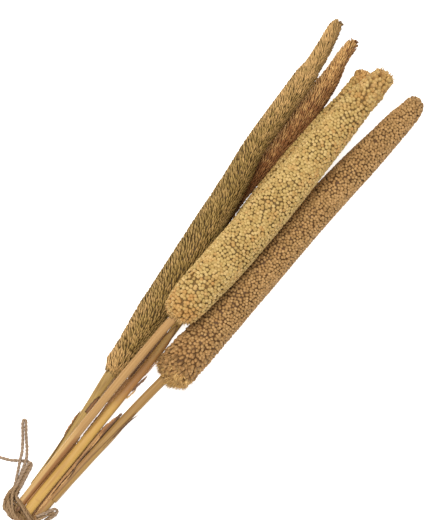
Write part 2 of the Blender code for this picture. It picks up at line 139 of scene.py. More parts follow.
RIGHT_LOOP_ROUTE = (
    (7.8, -6.2, 15.6), (10.0, -2.4, 15.3), (12.8, 2.4, 13.6), (14.4, 5.6, 11.6), (16.0, 7.7, 10.0),
    (18.0, 7.6, 8.8), (19.0, 5.4, 8.1), (18.6, 2.4, 7.8), (17.2, -1.0, 7.8), (16.4, -4.6, 8.0),
    (16.2, -7.8, 8.2),
)

# How a head's spikelets stand, in rows of y, lean towards the tip in degrees, length share,
# how far they stray as a share of their spacing, how stained they are, and spacing share.
FRONT_HABIT = (
    (186, -60, 1.6, 0.26, 0.45, 1.05), (193, -38, 1.4, 0.22, 0.50, 1.12), (202, -16, 1.3, 0.18, 0.45, 1.15),
    (214, 2, 1.1, 0.19, 0.15, 1.1), (232, 6, 1.0, 0.17, 0.06, 1.03), (260, 6, 1.0, 0.11, 0.05, 1.0),
    (380, 8, 1.0, 0.11, 0.05, 1.0), (402, 20, 1.3, 0.17, 0.12, 1.0), (425, 36, 1.7, 0.24, 0.34, 1.05),
    (440, 50, 2.0, 0.30, 0.50, 1.05), (447, 60, 2.0, 0.34, 0.60, 1.0),
)
BEHIND_HABIT = (
    (203, -40, 1.3, 0.2, 0.6, 1.0), (225, 0, 1.0, 0.12, 0.15, 1.0), (395, 8, 1.0, 0.12, 0.1, 1.0),
    (420, 30, 1.3, 0.2, 0.2, 1.0), (432, 50, 2.0, 0.3, 0.65, 1.0), (438, 62, 2.2, 0.34, 0.85, 1.0),
)
RIGHT_HABIT = (
    (146, -64, 1.8, 0.34, 0.70, 1.15), (153, -60, 1.9, 0.40, 0.80, 1.2), (164, -54, 1.9, 0.40, 0.75, 1.25),
    (176, -44, 1.8, 0.32, 0.60, 1.2), (188, -26, 1.5, 0.22, 0.35, 1.1), (202, -6, 1.2, 0.15, 0.18, 1.0),
    (400, 10, 1.0, 0.12, 0.12, 0.98), (425, 16, 1.1, 0.12, 0.16, 0.94), (440, 28, 1.2, 0.14, 0.24, 0.92),
    (448, 50, 1.3, 0.17, 0.3, 0.95),
)

# The same for slim spikelets: y, angle off the surface, length, stray and stain, and spacing.
LEFT_HABIT = (
    (121, 8, 1.3, 0.12, 1.0, 0.85), (126, 10, 1.4, 0.12, 0.9, 0.9), (134, 13, 1.4, 0.11, 0.65, 1.0),
    (144, 20, 1.1, 0.10, 0.15, 1.08), (185, 20, 1.0, 0.10, 0.05, 1.08), (210, 20, 1.0, 0.10, 0.0, 1.05),
    (300, 20, 1.0, 0.10, 0.0, 1.0), (335, 20, 1.0, 0.10, 0.10, 0.95), (365, 20, 1.1, 0.10, 0.35, 0.9),
    (410, 18, 1.3, 0.11, 0.60, 0.8), (445, 18, 1.3, 0.14, 0.80, 0.75), (458, 20, 1.0, 0.25, 0.80, 0.7),
)
# The red head's stain paints shade: it lies low under its neighbours and is darker towards its base.
RED_HABIT = (
    (244, 16, 1.0, 0.10, 1.0, 1.0), (350, 17, 1.0, 0.11, 0.85, 1.0), (395, 18, 1.0, 0.12, 0.50, 0.95),
    (420, 19, 1.0, 0.13, 0.18, 0.9), (436, 20, 1.0, 0.15, 0.08, 0.85), (452, 26, 0.9, 0.34, 0.0, 0.8),
)

# How spikelets take their places: the share of their spacing that each is moved at random, and
# the rounds in which its nearest ones then push it off, to a kept gap, a share of the way each time.
SEED_JOLT = 0.27
SEED_ROUNDS = 9
SLIM_JOLT = 0.3
SLIM_ROUNDS = 5
NEAREST = 7
KEPT_GAP = 1.09
PUSH_SHARE = 0.33

# A head's ends: the length at the tip that is drawn in, then how far past its last row each ring
# that closes it lies and how wide it is, as shares of that row's radius.
TIP_SPAN = 9.0
BASE_RING = (0.14, 0.55)
TIP_RINGS = ((0.10, 0.82), (0.20, 0.5), (0.24, 0.06))

# Stained patches on heads, and one of painted shade: y, angle round the head in degrees, half length, half
# angle, strength.
FRONT_PATCHES = (
    (388, 38, 18, 18, 0.6), (366, 52, 8, 12, 0.45), (346, 45, 10, 14, 0.4), (333, 62, 6, 12, 0.35),
    (202, 100, 4, 12, 0.6), (209, 91, 4, 8, 0.6), (196, 50, 7, 20, 0.7), (419, 112, 4, 12, 0.65),
    (419, 92, 4, 9, 0.5), (300, 66, 30, 9, 0.3), (268, 72, 18, 8, 0.3), (232, 140, 8, 10, 0.35),
)
BEHIND_PATCHES = ((434, 95, 4, 40, 0.95),)
RIGHT_PATCHES = (
    (172, 95, 4, 12, 0.9), (163, 80, 6, 16, 0.9), (353, 120, 4, 25, 0.4), (156, 150, 6, 20, 0.8),
    # Painted shadow that the front head casts on the brown head's left side.
    (290, 155, 80, 26, 0.7),
)
LEFT_PATCHES = ((437, 90, 5, 30, 0.3), (165, 145, 28, 35, 0.4), (395, 140, 50, 40, 0.2))

# Twine beyond its free stretches: over the turns on the stems, into the knot, and round the bow.
TWINE_STRANDS = (
    ((-19.6, 3.6, 11.0), (-19.4, -0.4, 12.6), (-17.9, -4.4, 15.9), (-15.0, -8.2, 19.2),
     (-11.4, -12.2, 21.4), (-8.0, -15.0, 22.2), (-3.0, -16.4, 23.4), (4.0, -17.4, 23.2),
     (10.5, -18.6, 18.2), (14.6, -19.4, 12.0)),
    ((-16.8, 3.2, 9.6), (-16.2, -0.6, 12.6), (-14.6, -3.4, 16.6), (-11.8, -5.0, 20.0), (-7.6, -6.2, 22.6),
     (-1.6, -8.6, 23.9), (4.4, -10.8, 22.9), (8.8, -11.8, 19.8), (13.6, -13.2, 15.0), (16.2, -13.8, 9.0)),
    ((-20.8, 2.6, 8.0), (-20.9, -1.4, 9.2), (-19.9, -5.6, 11.8), (-17.6, -9.6, 15.2), (-14.6, -12.4, 18.8),
     (-11.6, -14.6, 20.9), (-7.0, -17.0, 22.0), (-1.0, -18.2, 23.0)),
    ((-19.8, 2.4, 5.0), (-21.3, -1.6, 6.6), (-21.4, -6.0, 8.0), (-20.4, -10.6, 9.6), (-18.2, -14.4, 11.6),
     (-15.6, -16.6, 14.6), (-12.0, -17.6, 18.6), (-7.0, -18.4, 20.4)),
    ((-17.0, 2.2, 5.0), (-17.2, -1.4, 4.4), (-19.0, -4.8, 3.4), (-20.2, -9.2, 3.0), (-19.4, -13.4, 3.2),
     (-17.4, -16.6, 4.4), (-15.8, -17.6, 8.0)),
    ((-15.4, -0.6, 13.0), (-16.4, -4.8, 12.0), (-16.9, -9.2, 13.0), (-15.8, -13.4, 15.8),
     (-13.0, -16.4, 18.9), (-9.6, -18.0, 20.6)),
    ((9.4, -9.4, 17.6), (11.6, -4.8, 15.6), (13.8, -0.6, 12.6), (15.4, 2.9, 10.4), (16.5, 4.9, 9.4),
     (17.3, 4.2, 8.6), (16.8, 1.0, 8.4), (15.6, -3.0, 8.6), (15.2, -8.0, 9.4), (15.4, -13.0, 9.2)),
    ((-21.7, 22.3, 5.4), (-20.8, 16.4, 5.6), (-19.6, 9.6, 6.6), (-18.4, 3.2, 8.4), (-17.4, -2.4, 9.4),
     (-17.0, -8.0, 10.2)),
    ((-19.6, 1.0, 3.2), (-18.6, -3.0, 3.0), (-18.2, -8.0, 3.0), (-17.6, -12.0, 3.2), (-15.6, -16.6, 4.0)),
    ((-15.6, 0.6, 6.0), (-15.2, -4.0, 5.6), (-14.8, -9.0, 5.8), (-14.6, -14.0, 6.2)),
    ((-17.8, 1.4, 7.5), (-16.6, -2.6, 8.0), (-16.2, -6.5, 8.4), (-16.2, -10.0, 8.8), (-15.8, -13.4, 9.0)),
)

# Slivers torn from the sheaths, and dark strips of painted shade: points along each, its width, and which
# of four colours it has.
SLIVERS = (
    (((13.9, 58, 14.2), (16.2, 76, 15.4), (18.4, 92, 16.4), (19.9, 101, 17.0), (21.3, 106, 17.3),
      (22.3, 109.5, 17.4)), 1.2, "dark"),
    # Torn sheath margins in the groove between the front and orange stems, their brown and dark colours
    # partly painted shadow of the front stem.
    (((-3.0, 92, 14.6), (-2.5, 104, 15.0), (-2.1, 116, 14.9), (-1.8, 132, 14.4), (-1.5, 150, 13.8),
      (-1.3, 164, 13.4), (-0.9, 183, 13.0)), 3.0, "brown"),
    (((-2.4, 62, 11.0), (-2.4, 78, 11.6), (-2.3, 96, 12.0), (-2.2, 112, 12.0)), 1.6, "brown"),
    (((-1.5, 126, 16.2), (-1.4, 138, 15.6), (-1.2, 150, 15.0), (-1.0, 162, 14.6), (-0.8, 176, 14.2)),
     1.4, "dark"),
    (((-3.7, 66, 13.4), (-4.6, 52, 13.4), (-5.2, 36, 13.6), (-5.5, 18, 13.8), (-5.6, 0, 13.8),
      (-5.6, -14, 13.8)), 3.6, "brown"),
    (((6.9, 88, 10.0), (6.4, 66, 10.0), (5.6, 44, 10.4), (5.2, 20, 11.0), (5.0, 0, 11.0), (5.0, -16, 11.0)),
     4.4, "brown"),
    (((7.3, 84, 11.0), (6.9, 66, 11.0), (6.5, 46, 11.6), (6.4, 20, 12.4), (6.3, 0, 12.4), (6.3, -14, 12.4)),
     2.2, "ruddy"),
    (((10.8, 101.5, 14.4), (10.3, 98, 14.0), (9.9, 94, 13.8)), 2.0, "dark"),
    (((10.2, 98, 13.6), (9.4, 94, 13.4), (8.8, 90, 13.2), (8.1, 84, 12.8), (7.5, 76, 12.2)), 2.8, "brown"),
    (((10.4, 97, 13.9), (9.9, 90, 13.6), (9.3, 83, 13.2), (8.9, 74, 12.8)), 1.3, "dark"),
    (((11.7, 98, 12.8), (11.0, 90, 12.6), (10.2, 82, 12.4), (9.6, 74, 12.2), (9.2, 66, 12.0)),
     2.6, "ruddy"),
    (((9.4, 88, 12.2), (9.1, 78, 12.6), (8.8, 68, 13.0), (8.5, 56, 12.9), (8.2, 42, 12.8), (7.9, 22, 12.8)),
     2.3, "ruddy"),
    (((6.3, 112, 12.6), (7.3, 117, 12.4), (8.0, 121, 12.2), (7.7, 124, 12.0)), 1.2, "pale"),
    (((6.6, 120, 12.6), (7.2, 128, 12.4), (8.2, 133, 12.2), (8.5, 138, 11.9)), 1.9, "dark"),
    (((6.4, 134, 12.2), (7.0, 142, 11.9), (7.3, 150, 11.6), (7.0, 158, 11.4)), 0.9, "brown"),
    # A dark strip that paints the shade in a hole among the turns of twine.
    (((-7.9, -7.6, 25.2), (-7.4, -9.8, 25.5), (-7.1, -12.2, 25.0)), 3.2, "dark"),
    # A thin dark strip that paints the shade in the crack beside the right stem's sheath.
    (((8.0, 66, 15.1), (7.7, 55, 14.6), (7.8, 46, 14.4), (9.2, 39, 14.5), (9.3, 32, 14.2)), 0.9, "dark"),
    (((-14.6, 58, 10.2), (-15.6, 68, 10.6), (-16.3, 77, 10.8), (-16.6, 83, 11.0)), 1.8, "brown"),
)

# Colours of spikelets: dark, middle and light ones, the painted shade in the gaps between them, and stains,
# then how strong stains are on them and in the gaps, and how far up them the painted shade of the gaps
# reaches.
SPIKELET_COLOURS = {
    "olive_spikelets": ((0.19, 0.117, 0.029), (0.275, 0.171, 0.047), (0.37, 0.235, 0.070),
                        (0.058, 0.030, 0.005), (0.60, 0.355, 0.132), 1.0, 0.22, 0.8),
    # The red head's stain colour is painted shade.
    "red_spikelets": ((0.48, 0.255, 0.082), (0.62, 0.35, 0.122), (0.74, 0.46, 0.17),
                      (0.125, 0.048, 0.014), (0.22, 0.083, 0.025), 0.95, 0.35, 0.78),
    "pale_spikelets": ((0.33, 0.214, 0.068), (0.41, 0.28, 0.094), (0.49, 0.34, 0.134),
                       (0.14, 0.078, 0.02), (0.40, 0.19, 0.052), 0.75, 0.5, 0.62),
    "brown_spikelets": ((0.26, 0.147, 0.052), (0.34, 0.196, 0.071), (0.43, 0.258, 0.104),
                        (0.105, 0.048, 0.015), (0.36, 0.178, 0.062), 0.45, 0.26, 0.62),
    "fringe": ((0.40, 0.23, 0.075), (0.70, 0.45, 0.16), (0.90, 0.63, 0.27),
               (0.24, 0.105, 0.03), (0.42, 0.20, 0.065), 0.6, 0.6, 0.62),
}

# Colours of straw: light, middle, dark, stains (on the orange stem and sheath, painted shadow), and torn
# edges.
STRAW_COLOURS = {
    "tan_stem": ((0.49, 0.305, 0.118), (0.42, 0.255, 0.097), (0.33, 0.185, 0.065),
                 (0.25, 0.112, 0.038), (0.14, 0.07, 0.03)),
    "dull_stem": ((0.353, 0.212, 0.069), (0.308, 0.178, 0.057), (0.239, 0.127, 0.038),
                  (0.288, 0.135, 0.049), (0.140, 0.070, 0.030)),
    "olive_stem": ((0.360, 0.237, 0.074), (0.313, 0.198, 0.061), (0.238, 0.141, 0.042),
                   (0.240, 0.128, 0.042), (0.120, 0.065, 0.025)),
    "orange_stem": ((0.50, 0.305, 0.082), (0.455, 0.27, 0.07), (0.37, 0.195, 0.05),
                    (0.29, 0.125, 0.043), (0.13, 0.05, 0.02)),
    "dark_sheath": ((0.19, 0.093, 0.038), (0.12, 0.056, 0.023), (0.06, 0.027, 0.012),
                    (0.09, 0.04, 0.018), (0.05, 0.022, 0.012)),
    "brown_sheath": ((0.40, 0.205, 0.075), (0.31, 0.145, 0.05), (0.19, 0.08, 0.026),
                     (0.17, 0.07, 0.025), (0.08, 0.032, 0.013)),
    "ruddy_sheath": ((0.50, 0.29, 0.11), (0.42, 0.225, 0.08), (0.30, 0.145, 0.05),
                     (0.25, 0.11, 0.04), (0.14, 0.06, 0.022)),
}

# Jute: its fibres from dark to pale, its broad stains and the painted shade in its groove, and a share
# of each colour for free stretches, for the strands and loose fibres, and for the turns and knot, the
# lower two shares painting shade on them.
JUTE_FIBRES = ((0.30, (0.22, 0.135, 0.075)), (0.50, (0.36, 0.24, 0.145)), (0.70, (0.52, 0.38, 0.25)))
JUTE_STAIN = (0.28, 0.175, 0.10)
JUTE_GROOVE = (0.17, 0.105, 0.06)
FREE_TWINE_SHARE = (0.93, 0.97, 1.05)
HALF_SHADED_TWINE_SHARE = (0.88, 0.84, 0.74)
SHADED_TWINE_SHARE = (0.70, 0.62, 0.47)

# Each head: its rows, how much shorter they get at the tip, and whether they are closed below.
HEADS = {
    "front": (FRONT_HEAD, 3.4, True), "behind": (BEHIND_HEAD, 2.8, True), "right": (RIGHT_HEAD, 1.4, True),
    "left": (LEFT_HEAD, 3.0, False), "red": (RED_HEAD, 3.4, False),
}

# Husk fringes, a piece each: its slot, its colours and its sets of tufts. A set has its head, y from
# and to, tufts, bristles in a tuft, their length, width, droop in degrees and spread, and where it
# covers a part of the head's round, the angles from and to. The last number is how deep it roots.
FRINGES = (
    ("tip_fringes", "pale_spikelets", "fringe", (
        ("front", 440, 444, 60, 5, 4.2, 0.7, -62, 0.25),
        ("behind", 431, 435.5, 40, 5, 4.2, 0.7, -60, 0.3))),
    ("fringe_right", "brown_spikelets", "fringe", (
        ("right", 147, 153, 60, 12, 6.0, 0.45, 55, 0.45),
        ("right", 146.5, 157, 44, 8, 8.0, 0.9, 62, 0.55, 36, 84, 1.8),
        ("right", 151, 160, 40, 8, 5.0, 0.45, 40, 0.4))),
    ("fringe_front", "pale_spikelets", "fringe", (
        ("front", 190, 192.5, 90, 7, 4.6, 0.7, 66, 0.3),
        ("front", 191, 195, 50, 6, 3.6, 0.5, 50, 0.4))),
    ("fringe_ruddy", "brown_spikelets", "brown_spikelets", (
        ("right", 149, 166, 44, 9, 4.5, 0.8, 60, 0.4, 115, 190, 2.0),
        ("right", 158, 168, 20, 8, 4.5, 0.45, 40, 0.4, 60, 130))),
)

# The short husks on the left head's lower end, as one more set.
LEFT_HUSKS = (125.5, 136, 110, 7, 5.0, 0.8, 82, 0.12, 0, 360, 1.8)

# Stems: name, rows, slot, colours, and stripes of stain, which on the orange stem are painted shadow.
# A stripe is its middle and half width in degrees round the stem, y from and to, and its strength.
STEMS = (
    ("stem_left", LEFT_STEM, "tan_stem", "olive_stem", ()),
    ("stem_red", RED_STEM, "tan_stem", "tan_stem", ((90, 180, -20, 260, 0.7),)),
    ("stem_front", FRONT_STEM, "tan_stem", "tan_stem",
     ((28, 54, -25, 66, 1.0), (45, 42, 50, 125, 0.35), (90, 180, 66, 215, 0.35))),
    # The orange stem's stripe is painted shadow of the front stem above it.
    ("stem_behind", BEHIND_STEM, "orange_stem", "orange_stem", ((90, 180, 106, 148, 0.95),)),
    ("stem_right", RIGHT_STEM, "tan_stem", "dull_stem", ((140, 40, -20, 60, 0.6),)),
)

# Sheaths: name, stem, slot, colours, then y from and to, middle and half width in degrees, length of
# the pointed end, raggedness in degrees, and for the orange one where its painted shadow starts and clears.
SHEATHS = (
    ("sheath_left", LEFT_STEM, "tan_stem", "olive_stem", (12, 82, 176, 56, 60, 5)),
    ("scrap_left", LEFT_STEM, "dark_sheath", "dark_sheath", (84, 101, 60, 34, 12, 14)),
    # The orange sheath's last two numbers set its painted shadow.
    ("sheath_behind", BEHIND_STEM, "orange_sheath", "orange_stem", (-18, 184, 90, 118, 46, 14, 98, 142)),
    ("sheath_right", RIGHT_STEM, "dark_sheath", "dark_sheath", (-20, 101, 162, 33, 70, 5)),
    ("sliver_right", RIGHT_STEM, "tan_stem", "dull_stem", (12, 109, 48, 44, 60, 5)),
)
# The dark and brown slivers include strips of painted shade.
SLIVER_LOOKS = (
    ("dark", "dark_sheath", "dark_sheath"), ("brown", "dark_sheath", "brown_sheath"),
    ("ruddy", "orange_sheath", "ruddy_sheath"), ("pale", "tan_stem", "tan_stem"),
)

FLOOR_HALF = 4.0
FLOOR_GREY = 0.92
FLOOR_GLOW = 0.75
WORLD_LIGHT = 0.62
KEY_PLACE = (-0.44, 0.1, 1.8)
KEY_SIZE = 0.95
KEY_POWER = 38.0
KEY_COLOUR = (1.0, 0.985, 0.96)


def placed(points):
    """Bunch coordinates in millimetres as places in the model, none under the surface."""
    points = np.array(points, dtype=float)
    points[..., 0] -= MIDDLE_X
    points[..., 1] -= MIDDLE_Y
    points[..., 2] = np.maximum(points[..., 2], 0.0)
    return points * MM


def full_turn(count):
    """Angles that divide a full turn."""
    return 2 * math.pi * np.arange(count) / count


def risen(value, start, width):
    """A share that rises from 0 at start to 1 over a width."""
    return np.clip((value - start) / width, 0.0, 1.0)


def unit(vectors):
    return vectors / np.linalg.norm(vectors, axis=-1, keepdims=True)


def soft_curve(rows):
    """A function from y to (x, radius, z) on a smooth curve that never overshoots a row."""
    table = np.array(rows, dtype=float)
    places, values = table[:, 0], table[:, 1:]
    spans = np.diff(places)[:, None]
    rates = np.diff(values, axis=0) / spans
    same = rates[:-1] * rates[1:] > 0
    total = np.where(same, rates[:-1] + rates[1:], 1.0)
    inner = np.where(same, 2 * rates[:-1] * rates[1:] / total, 0.0)
    slopes = np.vstack([rates[:1], inner, rates[-1:]])

    def at(y):
        y = np.clip(y, places[0], places[-1])
        k = np.clip(np.searchsorted(places, y, side="right") - 1, 0, len(spans) - 1)
        t = ((y - places[k]) / spans[k, 0])[..., None]
        start, leave = 2 * t**3 - 3 * t**2 + 1, (t**3 - 2 * t**2 + t) * spans[k]
        end, arrive = 3 * t**2 - 2 * t**3, (t**3 - t**2) * spans[k]
        mixed = start * values[k] + leave * slopes[k] + end * values[k + 1] + arrive * slopes[k + 1]
        return mixed[..., 0], mixed[..., 1], mixed[..., 2]

    return at


def rounded_ends(rows, reach, closed_below):
    """A head's rows made reach shorter at the tip, where spikelets stand up, and closed at the ends."""
    bend = rows[-1][0] - TIP_SPAN
    rows = tuple((y - reach * max(0.0, y - bend) / TIP_SPAN, x, radius, z) for y, x, radius, z in rows)

    def ring(row, past, share):
        y, x, radius, z = row
        return y + past * radius, x, share * radius, z

    low = (ring(rows[0], -BASE_RING[0], BASE_RING[1]),)
    high = tuple(ring(rows[-1], past, share) for past, share in TIP_RINGS)
    return (low if closed_below else ()) + rows + high


def in_scene(name, data):
    """A new object, added to the scene."""
    made = bpy.data.objects.new(name, data)
    bpy.context.scene.collection.objects.link(made)
    return made


def mesh_piece(name, points, faces, look, attributes):
    """One smooth piece from bunch coordinates and an array of triangles, riding on the bunch."""
    faces = np.asarray(faces, dtype=np.int32)
    mesh = bpy.data.meshes.new(name)
    mesh.vertices.add(len(points))
    mesh.vertices.foreach_set("co", placed(points).astype(np.float32).ravel())
    mesh.loops.add(faces.size)
    mesh.loops.foreach_set("vertex_index", faces.ravel())
    mesh.polygons.add(len(faces))
    mesh.polygons.foreach_set("loop_start", np.arange(0, faces.size, 3, dtype=np.int32))
    mesh.update(calc_edges=True)
    mesh.shade_smooth()
    for key, values in attributes.items():
        values = np.asarray(values, dtype=np.float32)
        kind, field = ("FLOAT", "value") if values.ndim == 1 else ("FLOAT_VECTOR", "vector")
        mesh.attributes.new(key, kind, "POINT").data.foreach_set(field, values.ravel())
    mesh.materials.append(look)
    piece = in_scene(name, mesh)
    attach(piece, "root")
    return piece


def band(low, high, sides):
    """Triangles between two rings whose vertices start at low and high."""
    i = np.arange(sides)
    after = (i + 1) % sides
    first = np.stack([low + i, low + after, high + after], axis=1)
    second = np.stack([low + i, high + after, high + i], axis=1)
    return np.vstack([first, second])


def fan(ring, tip, sides, inwards=False):
    """Triangles from a ring to one vertex."""
    i = np.arange(sides)
    after = (i + 1) % sides
    ends = (after, i) if inwards else (i, after)
    return np.stack([ring + ends[0], ring + ends[1], np.full(sides, tip)], axis=1)


def tube_faces(count, sides, closed=False):
    """Triangles of a tube of count rings, closed in a ring or onto two vertices that come last."""
    faces = [band(j * sides, (j + 1) * sides, sides) for j in range(count - 1)]
    end = count * sides
    if closed:
        faces.append(band(end - sides, 0, sides))
    else:
        faces += [fan(0, end, sides, inwards=True), fan(end - sides, end + 1, sides)]
    return np.vstack(faces)


def around(x, y, z, reach, angle):
    """Rows of points round an axis that runs along y, each at its angle and as far out as its reach."""
    places = x[:, None] + reach * np.cos(angle), y[:, None], z[:, None] + reach * np.sin(angle)
    return np.stack(np.broadcast_arrays(*places), axis=-1)


def turned_form(profile, sides, flat=1.0, underside=1.0):
    """A small form for copying: rings of (radius, height, depth), closed by a last row's tip.

    Its columns are aside, upwards and forwards. depth is 0 where the form is hidden and 1 where
    it stands free, and low depth gets painted shade; underside is the share of depth kept on the form's
    lower side, where less depth paints shade.
    """
    points, depths, faces = [], [], []
    turns = 2 * math.pi * (np.arange(sides) + 0.5) / sides
    upper = underside + (1 - underside) * (0.5 + 0.5 * np.sin(turns)) ** 3
    for j, (radius, height, depth) in enumerate(profile[:-1]):
        points.append(np.stack([
            radius * np.cos(turns), radius * flat * np.sin(turns), np.full(sides, height)], axis=1))
        depths.append(depth * upper)
        if j:
            faces.append(band((j - 1) * sides, j * sides, sides))
    tip = sides * (len(profile) - 1)
    points.append(np.array([[0.0, 0.0, profile[-1][1]]]))
    depths.append([profile[-1][2]])
    faces.append(fan(tip - sides, tip, sides))
    return np.vstack(points), np.concatenate(depths), np.vstack(faces)


def copies(form, roots, axes, sizes):
    """Many copies of a form, each at its root with its own three axes and its own sizes."""
    points, depths, faces = form
    scaled = points[None] * sizes[:, None, :]
    spread = roots[:, None, :] + np.einsum("nkc,ncd->nkd", scaled, axes)
    steps = np.arange(len(roots))[:, None, None] * len(points)
    return spread.reshape(-1, 3), (faces[None] + steps).reshape(-1, 3), np.tile(depths, len(roots))


def planted(draw, form, roots, axes, sizes, stain=None):
    """Copies of a form with a tone each, and the stains given or else drawn."""
    points, faces, depths = copies(form, roots, axes, sizes)
    tone = draw.random(len(roots))
    stain = draw.random(len(roots)) if stain is None else stain
    each = len(form[0])
    return points, faces, {"depth": depths, "tone": np.repeat(tone, each), "stain": np.repeat(stain, each)}


def ring_places(curve, habit, low, high, across, along, shift):
    """y and angle of places in rings, each ring turned by a share of a place against the last."""
    step = 0.05
    fine = np.arange(low, high, step)
    _, radius, _ = curve(fine)
    spacing = habit_at(habit, fine)[-1]
    length = np.cumsum(np.hypot(step, np.gradient(radius)) / spacing)
    rings = np.interp(np.arange(0.4 * along, length[-1], along), length, fine)
    places, angles, turn = [], [], 0.0
    for y in rings:
        reach = float(curve(np.array([y]))[1][0])
        wide = across * float(habit_at(habit, y)[-1])
        count = max(3, round(2 * math.pi * reach / wide))
        turn += shift * wide / max(reach, wide)
        places.append(np.full(count, y))
        angles.append(turn + full_turn(count))
    return np.concatenate(places), np.concatenate(angles)


def wavered(draw, curve, y, angle, across):
    """The places moved by slow waves, so that their rows bend a little as grown ones do."""
    _, radius, _ = curve(y)
    shift_y, shift_side = np.zeros(len(y)), np.zeros(len(y))
    for _ in range(6):
        turns, length = draw.integers(0, 3), draw.uniform(35, 110)
        phase = turns * angle + 2 * math.pi * y / length + draw.uniform(0, 6.28)
        shift_y += draw.uniform(0.15, 0.4) * across * np.sin(phase)
        shift_side += draw.uniform(0.15, 0.4) * across * np.cos(phase + 1.0)
    return y + shift_y, angle + shift_side / np.maximum(radius, across)


def jolted(draw, curve, y, angle, across, along, share):
    """The places each moved at random by a share of their spacing."""
    radius = np.maximum(curve(y)[1], across)
    y = y + share * along * draw.normal(0, 1, len(y))
    return y, angle + share * across * draw.normal(0, 1, len(y)) / radius


def settled(curve, habit, y, angle, across, along, rounds):
    """The places after each has been pushed off its nearest ones, so that no straight row is left."""
    squeeze = across / along
    apart = KEPT_GAP * across * habit_at(habit, y)[-1]
    low, high = y.min(), y.max()
    for _ in range(rounds):
        middle, radius, radial, axes = surface_axes(curve, y, angle)
        points = (middle + radius[:, None] * radial) * (1, squeeze, 1)
        tree = kdtree.KDTree(len(y))
        for index, point in enumerate(points):
            tree.insert(point, index)
        tree.balance()
        near = np.array([[found[1] for found in tree.find_n(point, NEAREST)] for point in points])
        gaps = points[:, None] - points[near]
        far = np.linalg.norm(gaps, axis=2)
        push = np.clip(apart[:, None] - far, 0, None) * (far > 0) / np.maximum(far, 0.05)
        push = PUSH_SHARE * np.sum(push[..., None] * gaps, axis=1) / (1, squeeze, 1)
        y = np.clip(y + np.sum(push * axes[:, 1], axis=1) * axes[:, 1, 1], low, high)
        angle = angle - np.sum(push * axes[:, 0], axis=1) / np.maximum(radius, 0.5 * across)
    return y, angle


def grown_places(draw, curve, habit, rows, across, along, shift, jolt, rounds):
    """y and angle of all the spikelets of a spike, spread as evenly and unevenly as grown ones."""
    y, angle = ring_places(curve, habit, rows[0][0], rows[-1][0], across, along, shift)
    y, angle = wavered(draw, curve, y, angle, across)
    y, angle = jolted(draw, curve, y, angle, across, along, jolt)
    return settled(curve, habit, y, angle, across, along, rounds)


def surface_axes(curve, y, angle):
    """The spike's axis at y, its radius, the way outwards, and the axes aside, along and out."""
    step = 0.5
    x0, r0, z0 = curve(y - step)
    x1, r1, z1 = curve(y + step)
    x, radius, z = curve(y)
    tangent = unit(np.stack([x1 - x0, np.full_like(y, 2 * step), z1 - z0], axis=1))
    radial = np.stack([np.cos(angle), np.zeros_like(y), np.sin(angle)], axis=1)
    radial = unit(radial - np.sum(radial * tangent, axis=1, keepdims=True) * tangent)
    slope = np.clip((r1 - r0) / (2 * step), -3.0, 3.0)[:, None]
    along = unit(tangent + slope * radial)
    out = unit(radial - slope * tangent)
    middle = np.stack([x, y, z], axis=1)
    return middle, radius, radial, np.stack([np.cross(along, out), along, out], axis=1)


def leaned(axes, forward, sideways):
    """The same axes with out tipped towards along and aside by some angles in radians."""
    aside, along, out = axes[:, 0], axes[:, 1], axes[:, 2]
    forward, sideways = np.tan(forward)[:, None], np.tan(sideways)[:, None]
    out = unit(out + forward * along + sideways * aside)
    along = unit(along - np.sum(along * out, axis=1, keepdims=True) * out)
    return np.stack([np.cross(along, out), along, out], axis=1)


def habit_at(habit, y):
    """A habit table's columns at each y."""
    table = np.array(habit, dtype=float)
    return [np.interp(y, table[:, 0], table[:, k]) for k in range(1, table.shape[1])]


def patched(stain, patches, y, angle):
    """A stain with patches of its own added, one of them painted shade."""
    degrees = np.degrees(angle) % 360
    for middle, turn, half_length, half_angle, strength in patches:
        off = np.abs((degrees - turn + 180) % 360 - 180)
        stain = stain + strength * np.exp(-((y - middle) / half_length) ** 2 - (off / half_angle) ** 2)
    return stain


# A round seed in its husk, one with a plainer husk, a slim pointed spikelet, and a bristle. Each ring's
# last number is its depth, which paints shade where it is low.
HUSKED_SEED = turned_form(
    ((0.30, -0.62, 0.0), (0.54, -0.18, 0.30), (0.57, 0.0, 0.66), (0.47, 0.18, 0.92), (0.23, 0.31, 1.0),
     (0, 0.335, 0.9)), 6)
PLAIN_SEED = turned_form(
    ((0.30, -0.62, 0.0), (0.55, -0.12, 0.42), (0.49, 0.12, 0.85), (0.25, 0.29, 1.0), (0, 0.325, 0.92)), 6)
# The slim spikelet keeps no depth on its lower side, which gets painted shade.
SLIM_SPIKELET = turned_form(
    ((0.30, -0.08, 0.5), (0.50, 0.24, 0.95), (0.50, 0.64, 1.0), (0.28, 0.93, 0.8), (0, 1.0, 0.5)), 6,
    flat=0.72, underside=0.0)
BRISTLE = turned_form(((0.5, 0.0, 0.25), (0.42, 0.5, 0.8), (0, 1.0, 1.0)), 3)


